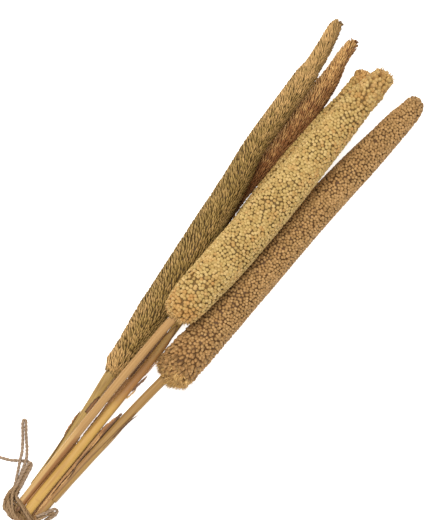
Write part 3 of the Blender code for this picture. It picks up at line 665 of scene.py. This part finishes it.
def seeds(draw, rows, across, along, form, habit, patches):
    """Round seeds all over a spike, each in its husk."""
    curve = soft_curve(rows)
    y, angle = grown_places(draw, curve, habit, rows, across, along, 0.5, SEED_JOLT, SEED_ROUNDS)
    lean, length, stray, stain, spacing = habit_at(habit, y)
    count = len(y)
    y = y + stray * along * draw.normal(0, 1, count)
    y = np.clip(y, rows[0][0], rows[-1][0])
    _, radius, _ = curve(y)
    angle = angle + stray * across * draw.normal(0, 1, count) / np.maximum(radius, across)
    middle, radius, radial, axes = surface_axes(curve, y, angle)
    lean = np.radians(np.clip(lean + 60 * stray * draw.normal(0, 1, count), -72, 72))
    axes = leaned(axes, lean, 1.2 * stray * draw.normal(0, 1, count))
    size = 0.5 * (across + along) * spacing * draw.uniform(0.98, 1.14, count)
    height = size * length * draw.uniform(0.9, 1.1, count)
    girth = size * np.where(lean < 0, np.cos(0.62 * lean), 1.0 + 0.12 * lean)
    sunk = 0.33 * height * np.maximum(np.cos(lean), 0.3)
    sunk = sunk + np.abs(draw.normal(0, 0.5, count)) * stray * along
    roots = middle + (np.maximum(radius - sunk, 0.2))[:, None] * radial
    sizes = np.stack([1.05 * girth, 0.95 * girth, height], axis=1)
    stain = np.clip(patched(stain, patches, y, angle) + 0.16 * draw.normal(0, 1, count), 0, 1)
    return planted(draw, form, roots, axes, sizes, stain)


def slim_spikelets(draw, rows, across, along, length, width, twist, habit, patches, side):
    """Slim pointed spikelets that lie along a spike, turned a little round it by twist."""
    curve = soft_curve(rows)
    shift = 0.5 + along * math.tan(math.radians(twist)) / across
    y, angle = grown_places(draw, curve, habit, rows, across, along, shift, SLIM_JOLT, SLIM_ROUNDS)
    open_angle, share, stray, stain, spacing = habit_at(habit, y)
    count = len(y)
    y = np.clip(y + 0.8 * stray * along * draw.normal(0, 1, count), rows[0][0], rows[-1][0])
    middle, radius, radial, axes = surface_axes(curve, y, angle)
    lift = np.radians(open_angle) + 0.6 * stray * draw.normal(0, 1, count)
    turn = np.radians(twist) + 0.9 * stray * draw.normal(0, 1, count)
    aside, forward, out = axes[:, 0], axes[:, 1], axes[:, 2]
    heading = np.cos(turn)[:, None] * forward - np.sin(turn)[:, None] * aside
    reach = unit(np.cos(lift)[:, None] * heading + np.sin(lift)[:, None] * out)
    across_it = unit(np.cross(out, heading))
    own = np.stack([across_it, np.cross(reach, across_it), reach], axis=1)
    long = length * share * draw.uniform(0.88, 1.12, count)
    wide = width * spacing * draw.uniform(0.9, 1.1, count)
    roots = middle + np.maximum(radius - long * np.sin(np.abs(lift)) - 0.3 * width, 0.1)[:, None] * radial
    # side adds painted shade to a slim head's right side, in its stain colour.
    stain = patched(stain, patches, y, angle) + side * np.cos(angle)
    stain = np.clip(stain + 0.15 * draw.normal(0, 1, count), 0, 1)
    return planted(draw, SLIM_SPIKELET, roots, own, np.stack([wide, wide, long], axis=1), stain)


def core(rows, inset, sides=28):
    """A solid under the spikelets, closed at both ends, dark with the painted shade of the gaps, less so at
    the tip.
    """
    curve = soft_curve(rows)
    y = np.arange(rows[0][0] + 0.8, rows[-1][0] - 0.5, 1.5)
    x, radius, z = curve(y)
    radius = np.maximum(radius - inset, 0.3 * radius)
    turns = full_turn(sides)
    ends = np.array([[x[0], y[0], z[0]], [x[-1], y[-1], z[-1]]])
    points = np.vstack([around(x, y, z, radius[:, None], turns).reshape(-1, 3), ends])
    tip = risen(points[:, 1], rows[-1][0] - 5.0, 4.0)
    values = {"depth": 0.4 * tip, "tone": 0.5 * tip, "stain": 0.5 * tip}
    return points, tube_faces(len(y), sides)[:, ::-1], values


def joined(parts):
    """One set of points, faces and values from several."""
    starts = np.cumsum([0] + [len(points) for points, _, _ in parts[:-1]])
    points = np.vstack([points for points, _, _ in parts])
    faces = np.vstack([faces + start for (_, faces, _), start in zip(parts, starts)])
    values = {key: np.concatenate([own[key] for _, _, own in parts]) for key in parts[0][2]}
    return points, faces, values


def fringe(draw, rows, low, high, tufts, bristles, length, width, droop, spread,
           start=0, end=360, depth=2.6):
    """Tufts of bristles at a head's base, which fan outwards and down along the stem."""
    curve = soft_curve(rows)
    y = np.repeat(draw.uniform(low, high, tufts), bristles)
    angle = np.repeat(np.radians(draw.uniform(start, end, tufts)), bristles)
    middle, radius, radial, axes = surface_axes(curve, y, angle)
    count = tufts * bristles
    lean = np.repeat(-np.radians(droop) + spread * 0.6 * draw.normal(0, 1, tufts), bristles)
    tip = np.repeat(spread * 0.7 * draw.normal(0, 1, tufts), bristles)
    lean = np.clip(lean + 0.5 * spread * draw.normal(0, 1, count), -1.45, 0.6)
    tip = np.clip(tip + 0.6 * spread * draw.normal(0, 1, count), -1.2, 1.2)
    axes = leaned(axes, lean, tip)
    long = length * draw.uniform(0.45, 1.0, count)
    wide = width * draw.uniform(0.7, 1.3, count)
    roots = middle + np.maximum(radius - depth, 0.3 * radius)[:, None] * radial
    return planted(draw, BRISTLE, roots, axes, np.stack([wide, wide, long + 1.5], axis=1))


def filled(tree, made, inputs):
    """A node with its inputs set, or linked where a value comes out of another node."""
    for key, value in inputs.items():
        if isinstance(value, bpy.types.NodeSocket):
            tree.links.new(value, made.inputs[key])
        else:
            made.inputs[key].default_value = value
    return made


def node(tree, kind, inputs=None, **settings):
    """A shader node with its settings, and its inputs by name or number."""
    made = tree.nodes.new(kind)
    for key, value in settings.items():
        setattr(made, key, value)
    return filled(tree, made, inputs or {})


def blended(tree, share, first, second, mode="MIX"):
    """The colour between two, by a share from 0 to 1."""
    first = first if isinstance(first, bpy.types.NodeSocket) else (*first, 1.0)
    second = second if isinstance(second, bpy.types.NodeSocket) else (*second, 1.0)
    made = node(tree, "ShaderNodeMix", {0: share, 6: first, 7: second}, data_type="RGBA", blend_type=mode)
    return made.outputs[2]


def ranged(tree, value, low, high, start=0.0, end=1.0):
    """A value stretched from one range to another, and kept inside it."""
    return node(tree, "ShaderNodeMapRange", {0: value, 1: low, 2: high, 3: start, 4: end}).outputs[0]


def brightened(tree, colour, share):
    """A colour times a number."""
    grey = node(tree, "ShaderNodeCombineColor", {0: share, 1: share, 2: share}).outputs[0]
    return blended(tree, 1.0, colour, grey, "MULTIPLY")


def ramp(tree, value, stops):
    """A colour ramp from (place, colour) stops."""
    made = node(tree, "ShaderNodeValToRGB", {0: value})
    elements = made.color_ramp.elements
    while len(elements) < len(stops):
        elements.new(0.5)
    for element, (place, colour) in zip(elements, stops):
        element.position = place
        element.color = (*colour, 1.0)
    return made.outputs[0]


def noise(tree, vector, scale, detail=2.0, roughness=0.5):
    made = node(tree, "ShaderNodeTexNoise",
                {"Vector": vector, "Scale": scale, "Detail": detail, "Roughness": roughness})
    return made.outputs["Fac"]


def attribute(tree, name, output="Fac"):
    return node(tree, "ShaderNodeAttribute", attribute_name=name).outputs[output]


def stretched(tree, vector, scales):
    """A vector times a number along each axis."""
    return node(tree, "ShaderNodeVectorMath", {0: vector, 1: scales}, operation="MULTIPLY").outputs[0]


def dressed(tree, shader, colour, roughness, height, strength, distance):
    """The shader given its colour, its roughness, and bumps from a height."""
    bump = node(tree, "ShaderNodeBump", {"Height": height, "Strength": strength, "Distance": distance})
    filled(tree, shader, {"Base Color": colour, "Roughness": roughness, "Normal": bump.outputs[0]})


def new_material(name):
    made = bpy.data.materials.new(name)
    made.use_nodes = True
    tree = made.node_tree
    shader = tree.nodes["Principled BSDF"]
    shader.inputs["Specular IOR Level"].default_value = 0.2
    return made, tree, shader


def spikelet_material(name, dark, middle, light, gap, stain, on_seed, on_gap, gap_end):
    """Spikelets: each its own tone, with painted shade where they are rooted and in the gaps, and a painted
    highlight at their ends.
    """
    made, tree, shader = new_material(name)
    place = node(tree, "ShaderNodeTexCoord").outputs["Object"]
    tone, depth = attribute(tree, "tone"), attribute(tree, "depth")
    colour = ramp(tree, tone, ((0.0, dark), (0.45, middle), (1.0, light)))
    cloud = ranged(tree, noise(tree, place, 160.0, 3.0), 0.35, 0.65, -0.25, 0.25)
    stained = node(tree, "ShaderNodeMath", {0: attribute(tree, "stain"), 1: cloud},
                   operation="ADD", use_clamp=True).outputs[0]
    colour = blended(tree, ranged(tree, stained, 0.0, 1.0, 0.0, on_seed), colour, stain)
    # The painted shade of the gaps takes on part of the stain colour.
    gap = blended(tree, stained, gap, tuple(share * on_gap for share in stain))
    colour = brightened(tree, colour, ranged(tree, noise(tree, place, 1300.0, 2.0), 0.3, 0.8, 0.86, 1.08))
    # Painted light: darker low on each spikelet, lighter at its free end.
    colour = brightened(tree, colour, ranged(tree, depth, 0.6, 1.0, 0.90, 1.10))
    # Painted shade: the gap colour where spikelets are rooted and hidden.
    colour = blended(tree, ranged(tree, depth, 0.08, gap_end), gap, colour)
    roughness = ranged(tree, noise(tree, place, 700.0), 0.3, 0.7, 0.5, 0.75)
    dressed(tree, shader, colour, roughness, noise(tree, place, 1800.0, 3.0), 0.35, 0.0004)
    return made


def straw_material(name, light, middle, dark, stain, torn):
    """Dry straw: fine lines along it, broad bands of tone, stains and painted shadow, and darker torn
    edges.
    """
    made, tree, shader = new_material(name)
    grain = attribute(tree, "grain", "Vector")
    lines = noise(tree, stretched(tree, grain, (2.6, 0.03, 1.0)), 1.0, 4.0, 0.6)
    bands = noise(tree, stretched(tree, grain, (0.4, 0.014, 1.0)), 1.0, 3.0)
    colour = ramp(tree, bands, ((0.32, dark), (0.48, middle), (0.64, light)))
    colour = blended(tree, ranged(tree, lines, 0.48, 0.78, 0.0, 0.45), colour, dark)
    spots = ranged(tree, noise(tree, grain, 0.35, 3.0), 0.62, 0.75, 0.0, 0.35)
    colour = blended(tree, spots, colour, stain)
    # The stain attribute carries stains, and on the orange stem and sheath painted shadow.
    colour = blended(tree, attribute(tree, "stain"), colour, stain)
    colour = blended(tree, ranged(tree, attribute(tree, "edge"), 0.25, 0.9), colour, torn)
    dressed(tree, shader, colour, ranged(tree, lines, 0.3, 0.7, 0.37, 0.60), lines, 0.4, 0.0003)
    return made


def twine_material(name, share):
    """Jute: pale and dark fibres that run with the twist, with painted shade in its groove, times a share
    of each colour, the lower shares painting shade.
    """
    made, tree, shader = new_material(name)
    lines = noise(tree, stretched(tree, attribute(tree, "grain", "Vector"), (3.0, 0.4, 1.0)), 1.0, 4.0, 0.7)
    broad = noise(tree, node(tree, "ShaderNodeTexCoord").outputs["Object"], 90.0, 2.0)
    colour = ramp(tree, lines, JUTE_FIBRES)
    colour = blended(tree, ranged(tree, broad, 0.4, 0.7, 0.0, 0.5), colour, JUTE_STAIN)
    # Painted shade in the groove between the plies.
    colour = blended(tree, ranged(tree, attribute(tree, "depth"), 0.05, 0.7), JUTE_GROOVE, colour)
    # The share of each colour; below one it paints shade.
    colour = blended(tree, 1.0, colour, share, "MULTIPLY")
    dressed(tree, shader, colour, 0.9, lines, 0.8, 0.0004)
    return made


def smooth_route(points, gap):
    """Points about gap apart on a smooth curve through a route's points."""
    points = np.array(points, dtype=float)
    line = np.vstack([2 * points[0] - points[1], points, 2 * points[-1] - points[-2]])
    route = []
    for a, b, c, d in zip(line, line[1:], line[2:], line[3:]):
        steps = max(1, round(float(np.linalg.norm(c - b)) / gap))
        t = (np.arange(steps) / steps)[:, None]
        route.append(b + 0.5 * t * (c - a + t * (2 * a - 5 * b + 4 * c - d + t * (3 * b - a - 3 * c + d))))
    return np.vstack(route + [points[-1:]])


def route_length(route):
    return float(np.sum(np.linalg.norm(np.diff(route, axis=0), axis=1)))


def carried_axes(route, closed=False):
    """Two directions across a route at each of its points, carried along it without a twist."""
    ahead = np.roll(route, -1, axis=0) - np.roll(route, 1, axis=0)
    if not closed:
        ahead[0], ahead[-1] = route[1] - route[0], route[-1] - route[-2]
    ahead = unit(ahead)
    first = np.empty_like(ahead)
    start = np.cross(ahead[0], (0.0, 0.0, 1.0))
    if np.linalg.norm(start) < 0.1:
        start = np.cross(ahead[0], (1.0, 0.0, 0.0))
    first[0] = unit(start)
    for j in range(1, len(route)):
        first[j] = unit(first[j - 1] - np.dot(first[j - 1], ahead[j]) * ahead[j])
    return first, np.cross(ahead, first)


def twisted_twine(route, diameter, draw, sides=14, closed=False):
    """A two-ply twine along a route, its groove winding round it, with slightly uneven plies."""
    first, second = carried_axes(route, closed)
    steps = np.linalg.norm(np.diff(route, axis=0), axis=1)
    along = np.concatenate([[0.0], np.cumsum(steps)])
    turns = full_turn(sides)
    spin = 2 * math.pi * along / TWIST_LENGTH
    swell = 1.0 + 0.05 * np.sin(along * 0.9 + draw.uniform(0, 6)) + draw.normal(0, 0.02, len(route))
    angle = turns[None, :] + spin[:, None]
    ply = np.abs(np.cos(turns))[None, :]
    reach = diameter / 2 * (0.64 + 0.36 * ply**0.75) * swell[:, None]
    reach = reach + draw.normal(0, 0.02 * diameter, reach.shape)
    points = (route[:, None, :] + (reach * np.cos(angle))[..., None] * first[:, None, :]
              + (reach * np.sin(angle))[..., None] * second[:, None, :])
    count = len(route)
    grain = np.empty((count, sides, 3))
    grain[..., 0] = turns[None, :] * diameter / 2
    grain[..., 1] = along[:, None]
    grain[..., 2] = draw.uniform(0, 50)
    # depth is low in the groove between the plies, where it paints shade.
    depth = np.broadcast_to(0.15 + 0.85 * ply, (count, sides))
    points, grain, depth = points.reshape(-1, 3), grain.reshape(-1, 3), depth.reshape(-1)
    if not closed:
        points = np.vstack([points, route[0], route[-1]])
        grain = np.vstack([grain, grain[:1], grain[-1:]])
        depth = np.concatenate([depth, [0.5, 0.5]])
    return points, tube_faces(count, sides, closed), {"grain": grain, "depth": depth}


def squared(turns, power=2.7):
    """How far a rounded square reaches at each angle, against a circle inside it."""
    return (np.abs(np.cos(turns))**power + np.abs(np.sin(turns))**power) ** (-1 / power)


def stem_tube(rows, draw, stripes, sides=36, gap=2.5, flute=0.016):
    """A finely fluted stem along its rows, its cut end a little hollow.

    stripes are stains and painted shadow: middle and half width in degrees round the stem, y from and to,
    strength.
    """
    curve = soft_curve(rows)
    low, high = rows[0][0], rows[-1][0]
    count = round((high - low) / gap) + 1
    y = np.linspace(low, high, count)
    x, radius, z = curve(y)
    turns = full_turn(sides)
    shape = np.ones((count, sides))
    for waves, share in ((5, 0.6), (9, 0.9), (14, 0.8)):
        drift = draw.uniform(0, 6) + np.cumsum(draw.normal(0, 0.05, count))
        shape += flute * share * np.sin(waves * turns[None, :] + drift[:, None])
    reach = radius[:, None] * shape * squared(turns)[None, :]
    grain = around(0 * y, y, 0 * y, 1.6 * radius[:, None], turns)
    grain[..., 2] += draw.uniform(0, 90)
    stain = stripe_stain_and_shade(stripes, y, turns, draw)
    ends = np.array([[x[0], y[0] + CUT_HOLLOW, z[0]], [x[-1], y[-1], z[-1]]])
    points = np.vstack([around(x, y, z, reach, turns).reshape(-1, 3), ends])
    grain = np.vstack([grain.reshape(-1, 3), np.zeros((2, 3))])
    stain = np.concatenate([stain.reshape(-1), [0, 0]])
    values = {"grain": grain, "edge": np.zeros(len(points)), "stain": stain}
    return points, tube_faces(count, sides)[:, ::-1], values


def stripe_stain_and_shade(stripes, y, turns, draw):
    """How far stains and painted shadow darken a stem at each y and angle, with edges that waver."""
    stain = np.zeros((len(y), len(turns)))
    for middle, half_width, start, end, strength in stripes:
        waver = np.cumsum(draw.normal(0, 1.2, len(y)))
        waver -= np.linspace(0, waver[-1], len(y))
        off = np.degrees(turns)[None, :] - middle - np.clip(waver, -9, 9)[:, None]
        off = np.abs((off + 180) % 360 - 180)
        side = np.clip((half_width - off) / 9 + 0.5, 0, 1)
        along = np.clip((y - start) / 14 + 0.5, 0, 1) * np.clip((end - y) / 14 + 0.5, 0, 1)
        stain = np.maximum(stain, strength * side * along[:, None])
    return stain


def sheath_shell(rows, draw, low, high, middle, half_width, taper, torn, shade_from=999, shade_clears_from=999,
                 step=1.5, columns=30):
    """A dried leaf sheath round a stem, thin, with torn and darkened edges.

    It has painted shadow above one given height, and above a second mostly on its right side.
    """
    curve = soft_curve(rows)
    count = round((high - low) / step) + 1
    y = np.linspace(low, high, count)
    x, radius, z = curve(y)
    share = np.maximum(np.clip((high - y) / taper, 0.0, 1.0) ** 0.7, 0.06)
    ragged = np.cumsum(draw.normal(0, 1.0, (count, 2)), axis=0)
    ragged -= np.linspace(0, 1, count)[:, None] * ragged[-1]
    ragged = 0.35 * ragged / max(1.0, np.abs(ragged).max()) + draw.normal(0, 0.16, (count, 2))
    ragged = np.radians(torn) * ragged
    left = np.radians(middle - half_width * share) + ragged[:, 0]
    right = np.radians(middle + half_width * share) + ragged[:, 1]
    s = np.linspace(0, 1, columns)
    angle = left[:, None] + (right - left)[:, None] * s
    lift = 0.25 * np.sin(0.11 * y + draw.uniform(0, 6))[:, None] * np.abs(2 * s - 1) ** 3
    inner, outer = (
        around(x, y, z, (radius[:, None] + gap + np.maximum(lift, 0)) * squared(angle), angle)
        for gap in (SHEATH_GAP, SHEATH_GAP + 0.6 * SHEATH_THICKNESS))
    across = np.minimum(angle - left[:, None], right[:, None] - angle) * radius[:, None]
    edge = np.exp(-np.minimum(across, 0.5 * (high - y)[:, None]) / 0.7)
    grain = np.stack(np.broadcast_arrays(angle * radius[:, None], y[:, None], draw.uniform(0, 90)), axis=-1)
    # Painted shadow of the front stem and head on the orange sheath, cleared above a height except on its
    # right side.
    shade_cleared = risen(y[:, None], shade_clears_from, 18) * risen(np.degrees(angle), 50, 30)
    stain = 0.8 * risen(y[:, None], shade_from, 20) * (1 - 0.7 * shade_cleared)
    return thin_shell(inner, outer, edge, grain, stain)


def thin_shell(inner, outer, edge, grain, stain, turned=False):
    """A closed thin shell between two sheets of points, its faces turned over if asked."""
    faces = shell_faces(*inner.shape[:2])
    points = np.vstack([inner.reshape(-1, 3), outer.reshape(-1, 3)])
    values = {"edge": np.tile(edge.ravel(), 2), "stain": np.tile(stain.ravel(), 2),
              "grain": np.tile(grain.reshape(-1, 3), (2, 1))}
    return points, faces[:, ::-1] if turned else faces, values


def shell_faces(rows, columns):
    """Triangles of a closed thin shell whose inner points come before its outer ones."""
    size = rows * columns
    j, i = np.meshgrid(np.arange(rows - 1), np.arange(columns - 1), indexing="ij")
    a = (j * columns + i).ravel()
    outer = np.vstack([np.stack([a, a + columns + 1, a + 1], axis=1),
                       np.stack([a, a + columns, a + columns + 1], axis=1)])
    rim = np.concatenate([
        np.arange(columns), np.arange(1, rows) * columns + columns - 1,
        (rows - 1) * columns + np.arange(columns - 2, -1, -1), np.arange(rows - 2, 0, -1) * columns])
    after = np.roll(rim, -1)
    sides = np.vstack([np.stack([rim, after, size + after], axis=1),
                       np.stack([rim, size + after, size + rim], axis=1)])
    return np.vstack([outer[:, ::-1], outer + size, sides[:, ::-1]])


def sliver(points, width, draw):
    """A thin torn strip along some points, ragged and narrowing to its ends."""
    route = smooth_route(points, SLIVER_GAP)
    count, columns = len(route), 4
    ahead = unit(np.gradient(route, axis=0))
    aside = unit(np.cross(ahead, (0.0, 0.0, 1.0)))
    share = np.linspace(0, 1, count)
    half = 0.5 * width * np.minimum(1.0, np.minimum(share * 6 + 0.15, (1 - share) * 4 + 0.1))
    left = half * (1 + draw.normal(0, 0.22, count))
    right = half * (1 + draw.normal(0, 0.22, count))
    s = np.linspace(0, 1, columns)
    off = -left[:, None] + (left + right)[:, None] * s
    flat = route[:, None, :] + off[..., None] * aside[:, None, :]
    upper = flat + (0, 0, SLIVER_THICKNESS)
    along = SLIVER_GAP * np.arange(count)[:, None]
    grain = np.stack(np.broadcast_arrays(off, along, draw.uniform(0, 90)), axis=-1)
    return thin_shell(flat, upper, np.full(off.shape, 0.2), grain, np.zeros(off.shape), turned=True)


def bundle_outline(gap, count):
    """The line that twine takes round the five stems, gap outside them, as count points."""
    circles = [(rows[0][1], rows[0][3], rows[0][2] + gap) for rows in (LEFT_STEM, RED_STEM, FRONT_STEM)]
    for rows in (BEHIND_STEM, RIGHT_STEM):
        circles.append((rows[0][1], rows[0][3], rows[0][2] + gap + SHEATH_CLEARANCE + SHEATH_THICKNESS))
    cloud = np.array([(x + r * math.cos(t), z + r * math.sin(t))
                      for x, z, r in circles for t in full_turn(72)])
    middle = cloud.mean(axis=0)
    ways = full_turn(360)
    furthest = np.unique(np.argmax(cloud @ np.stack([np.cos(ways), np.sin(ways)]), axis=0))
    line = cloud[furthest]
    turn = np.arctan2(line[:, 1] - middle[1], line[:, 0] - middle[0])
    line, turn = line[np.argsort(turn)], np.sort(turn)
    line = np.roll(line, -int(np.argmin(np.abs(turn))), axis=0)
    line = np.vstack([line, line[:1]])
    lengths = np.concatenate([[0.0], np.cumsum(np.linalg.norm(np.diff(line, axis=0), axis=1))])
    goals = lengths[-1] * np.arange(count) / count
    return np.stack([np.interp(goals, lengths, line[:, k]) for k in (0, 1)], axis=1)


def wrap_route(per_turn=120):
    """The twine's way round the stems, turn beside turn, a little unevenly."""
    outline = bundle_outline(TWINE_CLEARANCE + TWINE_DIAMETER / 2, per_turn)
    count = WRAP_TURNS * per_turn
    i = np.arange(count)
    x, z = outline[i % per_turn, 0], outline[i % per_turn, 1]
    share = (i / per_turn) / WRAP_TURNS * 0.86 + 0.07
    top, low = WRAP_TOP_Y + WRAP_TOP_SLANT * x, WRAP_LOW_Y + WRAP_LOW_SLANT * x
    sway = 0.35 * np.sin(i * 0.043 + 1.0) + 0.25 * np.sin(i * 0.019 + 4.0)
    return np.stack([x, top + share * (low - top) + sway, z], axis=1)


def knot_route():
    """Twine that passes three times through its own ring, as in an overhand knot."""
    turn = full_turn(120)
    ring = KNOT_RADIUS + KNOT_LOBE * np.cos(3 * turn)
    return np.stack([
        KNOT_CENTRE[0] + KNOT_LOBE * np.sin(3 * turn),
        KNOT_CENTRE[1] + ring * np.cos(2 * turn),
        KNOT_CENTRE[2] + ring * np.sin(2 * turn),
    ], axis=1)


def fuzz(draw, routes, per_mm, length):
    """Loose fibres that stand off the twine."""
    roots, axes, sizes = [], [], []
    for route in routes:
        count = int(route_length(route) * per_mm)
        k = draw.integers(0, len(route) - 1, count)
        first, second = carried_axes(route)
        turn = draw.uniform(0, 2 * math.pi, count)
        out = np.cos(turn)[:, None] * first[k] + np.sin(turn)[:, None] * second[k]
        ahead = unit(np.cross(first[k], second[k]))
        ahead = draw.choice([-1.0, 1.0], count)[:, None] * ahead
        way = unit(0.55 * out + ahead + draw.normal(0, 0.25, (count, 3)))
        roots.append(route[k] + 0.9 * out)
        aside = unit(np.cross(way, out + 0.01))
        axes.append(np.stack([aside, np.cross(way, aside), way], axis=1))
        thick = np.full(count, 0.13)
        sizes.append(np.stack([thick, thick, length * draw.uniform(0.4, 1.2, count)], axis=1))
    points, faces, depths = copies(BRISTLE, np.vstack(roots), np.vstack(axes), np.vstack(sizes))
    return points, faces, {"depth": depths, "grain": points * 2.0}


def looks_piece(name, look, part, replaced=True):
    """A piece of the scene, named after the model's node that it stands for."""
    points, faces, values = part
    piece = mesh_piece(name + "_looks" if replaced else name, points, faces, look, values)
    if replaced:
        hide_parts(name)
    return piece


def free_cord(name, route, jute, draw):
    """A stretch of twine that lies free, along its route."""
    piece = looks_piece(name, jute, twisted_twine(route, LOOSE_TWINE_DIAMETER, draw))
    path = placed(route)


def make_twine():
    jute = twine_material("jute_twine_looks", FREE_TWINE_SHARE)
    # Darker copies of the jute colour paint shade on the strands, fibres, turns and knot.
    half_shaded_jute = twine_material("half_shaded_twine_looks", HALF_SHADED_TWINE_SHARE)
    shaded_jute = twine_material("shaded_twine_looks", SHADED_TWINE_SHARE)
    draw = np.random.default_rng(SEED)
    routes = []
    for name, points, far_end in (
            ("twine_tall_loop", TALL_LOOP_ROUTE, "object"),
            ("twine_short_loop", SHORT_LOOP_ROUTE, "object"),
            ("twine_right_loop", RIGHT_LOOP_ROUTE, "object"),
            ("twine_tail", TAIL_ROUTE, "bare")):
        route = smooth_route(points, TWINE_RING_GAP)
        free_cord(name, route, jute, draw)
        routes.append(route)
    wraps = wrap_route()
    looks_piece("twine_wraps", shaded_jute, twisted_twine(wraps, TWINE_DIAMETER, draw))
    knot = twisted_twine(knot_route(), TWINE_DIAMETER, draw, closed=True)
    looks_piece("twine_knot", shaded_jute, knot)
    strands = [smooth_route(points, TWINE_RING_GAP) for points in TWINE_STRANDS]
    tubes = [twisted_twine(route, TWINE_STRAND_DIAMETER, draw) for route in strands]
    looks_piece("twine_strands", half_shaded_jute, joined(tubes), replaced=False)
    fibres = fuzz(draw, routes + strands + [wraps], FIBRES_PER_MM, FIBRE_LENGTH)
    looks_piece("twine_fuzz", half_shaded_jute, fibres, replaced=False)


def make_heads():
    draw = np.random.default_rng(SEED + 1)
    looks = {name: spikelet_material(name + "_looks", *colours)
             for name, colours in SPIKELET_COLOURS.items()}
    heads = {name: rounded_ends(*head) for name, head in HEADS.items()}
    for name, slot, inset, across, along, form, habit, patches in (
            ("front", "pale_spikelets", 2.0, 3.1, 2.5, HUSKED_SEED, FRONT_HABIT, FRONT_PATCHES),
            ("behind", "pale_spikelets", 2.0, 3.1, 2.5, PLAIN_SEED, BEHIND_HABIT, BEHIND_PATCHES),
            ("right", "brown_spikelets", 1.9, 2.85, 2.3, PLAIN_SEED, RIGHT_HABIT, RIGHT_PATCHES)):
        head = heads[name]
        looks_piece("head_" + name, looks[slot], joined([
            core(head, inset), seeds(draw, head, across, along, form, habit, patches)]))
    # side, the number before the husks, is painted shade on a slim head's right side.
    for name, slot, inset, across, along, length, width, twist, habit, patches, side, husks in (
            ("left", "olive_spikelets", 2.0, 1.85, 3.3, 4.9, 1.76, 19,
             LEFT_HABIT, LEFT_PATCHES, 0.0, (LEFT_HUSKS,)),
            ("red", "red_spikelets", 1.9, 1.7, 3.4, 5.6, 1.7, 15, RED_HABIT, (), 0.35, ())):
        head = heads[name]
        spikelets = slim_spikelets(draw, head, across, along, length, width, twist, habit, patches, side)
        looks_piece("head_" + name, looks[slot], joined(
            [core(head, inset), spikelets] + [fringe(draw, head, *shape) for shape in husks]))
    for name, slot, colours, sets in FRINGES:
        tufts = [fringe(draw, heads[head], *shape) for head, *shape in sets]
        looks_piece(name, looks[colours], joined(tufts), replaced=False)


def make_straw():
    draw = np.random.default_rng(SEED + 2)
    looks = {name: straw_material(name + "_looks", *colours) for name, colours in STRAW_COLOURS.items()}
    for name, rows, slot, colours, stripes in STEMS:
        looks_piece(name, looks[colours], stem_tube(rows, draw, stripes))
    for name, rows, slot, colours, shape in SHEATHS:
        looks_piece(name, looks[colours], sheath_shell(rows, draw, *shape))
    for kind, slot, colours in SLIVER_LOOKS:
        strips = [sliver(points, width, draw) for points, width, own in SLIVERS if own == kind]
        looks_piece(f"slivers_{kind}", looks[colours], joined(strips), replaced=False)


def make_floor():
    made, tree, shader = new_material("floor_looks")
    grey, white = (FLOOR_GREY, FLOOR_GREY, FLOOR_GREY, 1.0), (1.0, 1.0, 1.0, 1.0)
    filled(tree, shader, {"Base Color": grey, "Roughness": 0.95, "Emission Color": white,
                          "Emission Strength": FLOOR_GLOW})
    mesh = bpy.data.meshes.new("floor")
    corners = [(x * FLOOR_HALF, y * FLOOR_HALF, 0) for x, y in ((-1, -1), (1, -1), (1, 1), (-1, 1))]
    mesh.from_pydata(corners, [], [(0, 1, 2, 3)])
    mesh.materials.append(made)
    in_scene("floor", mesh)


def make_lights():
    """An even white sky, and one square soft light turned to the bunch's middle."""
    world = bpy.data.worlds.new("studio")
    bpy.context.scene.world = world
    world.use_nodes = True
    filled(world.node_tree, world.node_tree.nodes["Background"], {0: (1.0, 1.0, 1.0, 1.0), 1: WORLD_LIGHT})
    data = bpy.data.lights.new("key", "AREA")
    data.shape = "SQUARE"
    data.size = KEY_SIZE
    data.energy = KEY_POWER
    data.color = KEY_COLOUR
    lamp = in_scene("key", data)
    lamp.location = KEY_PLACE
    lamp.rotation_euler = (-Vector(KEY_PLACE)).to_track_quat("-Z", "Y").to_euler()
    bpy.context.scene.view_settings.view_transform = "Standard"


def make_camera():
    data = bpy.data.cameras.new("camera")
    data.sensor_width = SENSOR
    data.lens = SENSOR * CAMERA_DISTANCE / COVERED_HEIGHT
    data.clip_start, data.clip_end = 0.05, 40.0
    camera = in_scene("camera", data)
    x, y, _ = placed(AIM)
    camera.location = (x, y, (AIM[2] + CAMERA_DISTANCE) * MM)
    camera.rotation_euler = (0.0, 0.0, math.radians(CAMERA_TURN))
    bpy.context.scene.camera = camera


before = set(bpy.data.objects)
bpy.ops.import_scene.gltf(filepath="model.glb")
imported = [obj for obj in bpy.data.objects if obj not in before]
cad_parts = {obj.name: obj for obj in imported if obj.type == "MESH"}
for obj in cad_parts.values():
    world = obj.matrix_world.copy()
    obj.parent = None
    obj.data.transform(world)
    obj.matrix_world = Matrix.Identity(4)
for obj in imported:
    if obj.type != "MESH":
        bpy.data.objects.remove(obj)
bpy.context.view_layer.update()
make_camera()
make_lights()
make_floor()
make_twine()
make_heads()
make_straw()
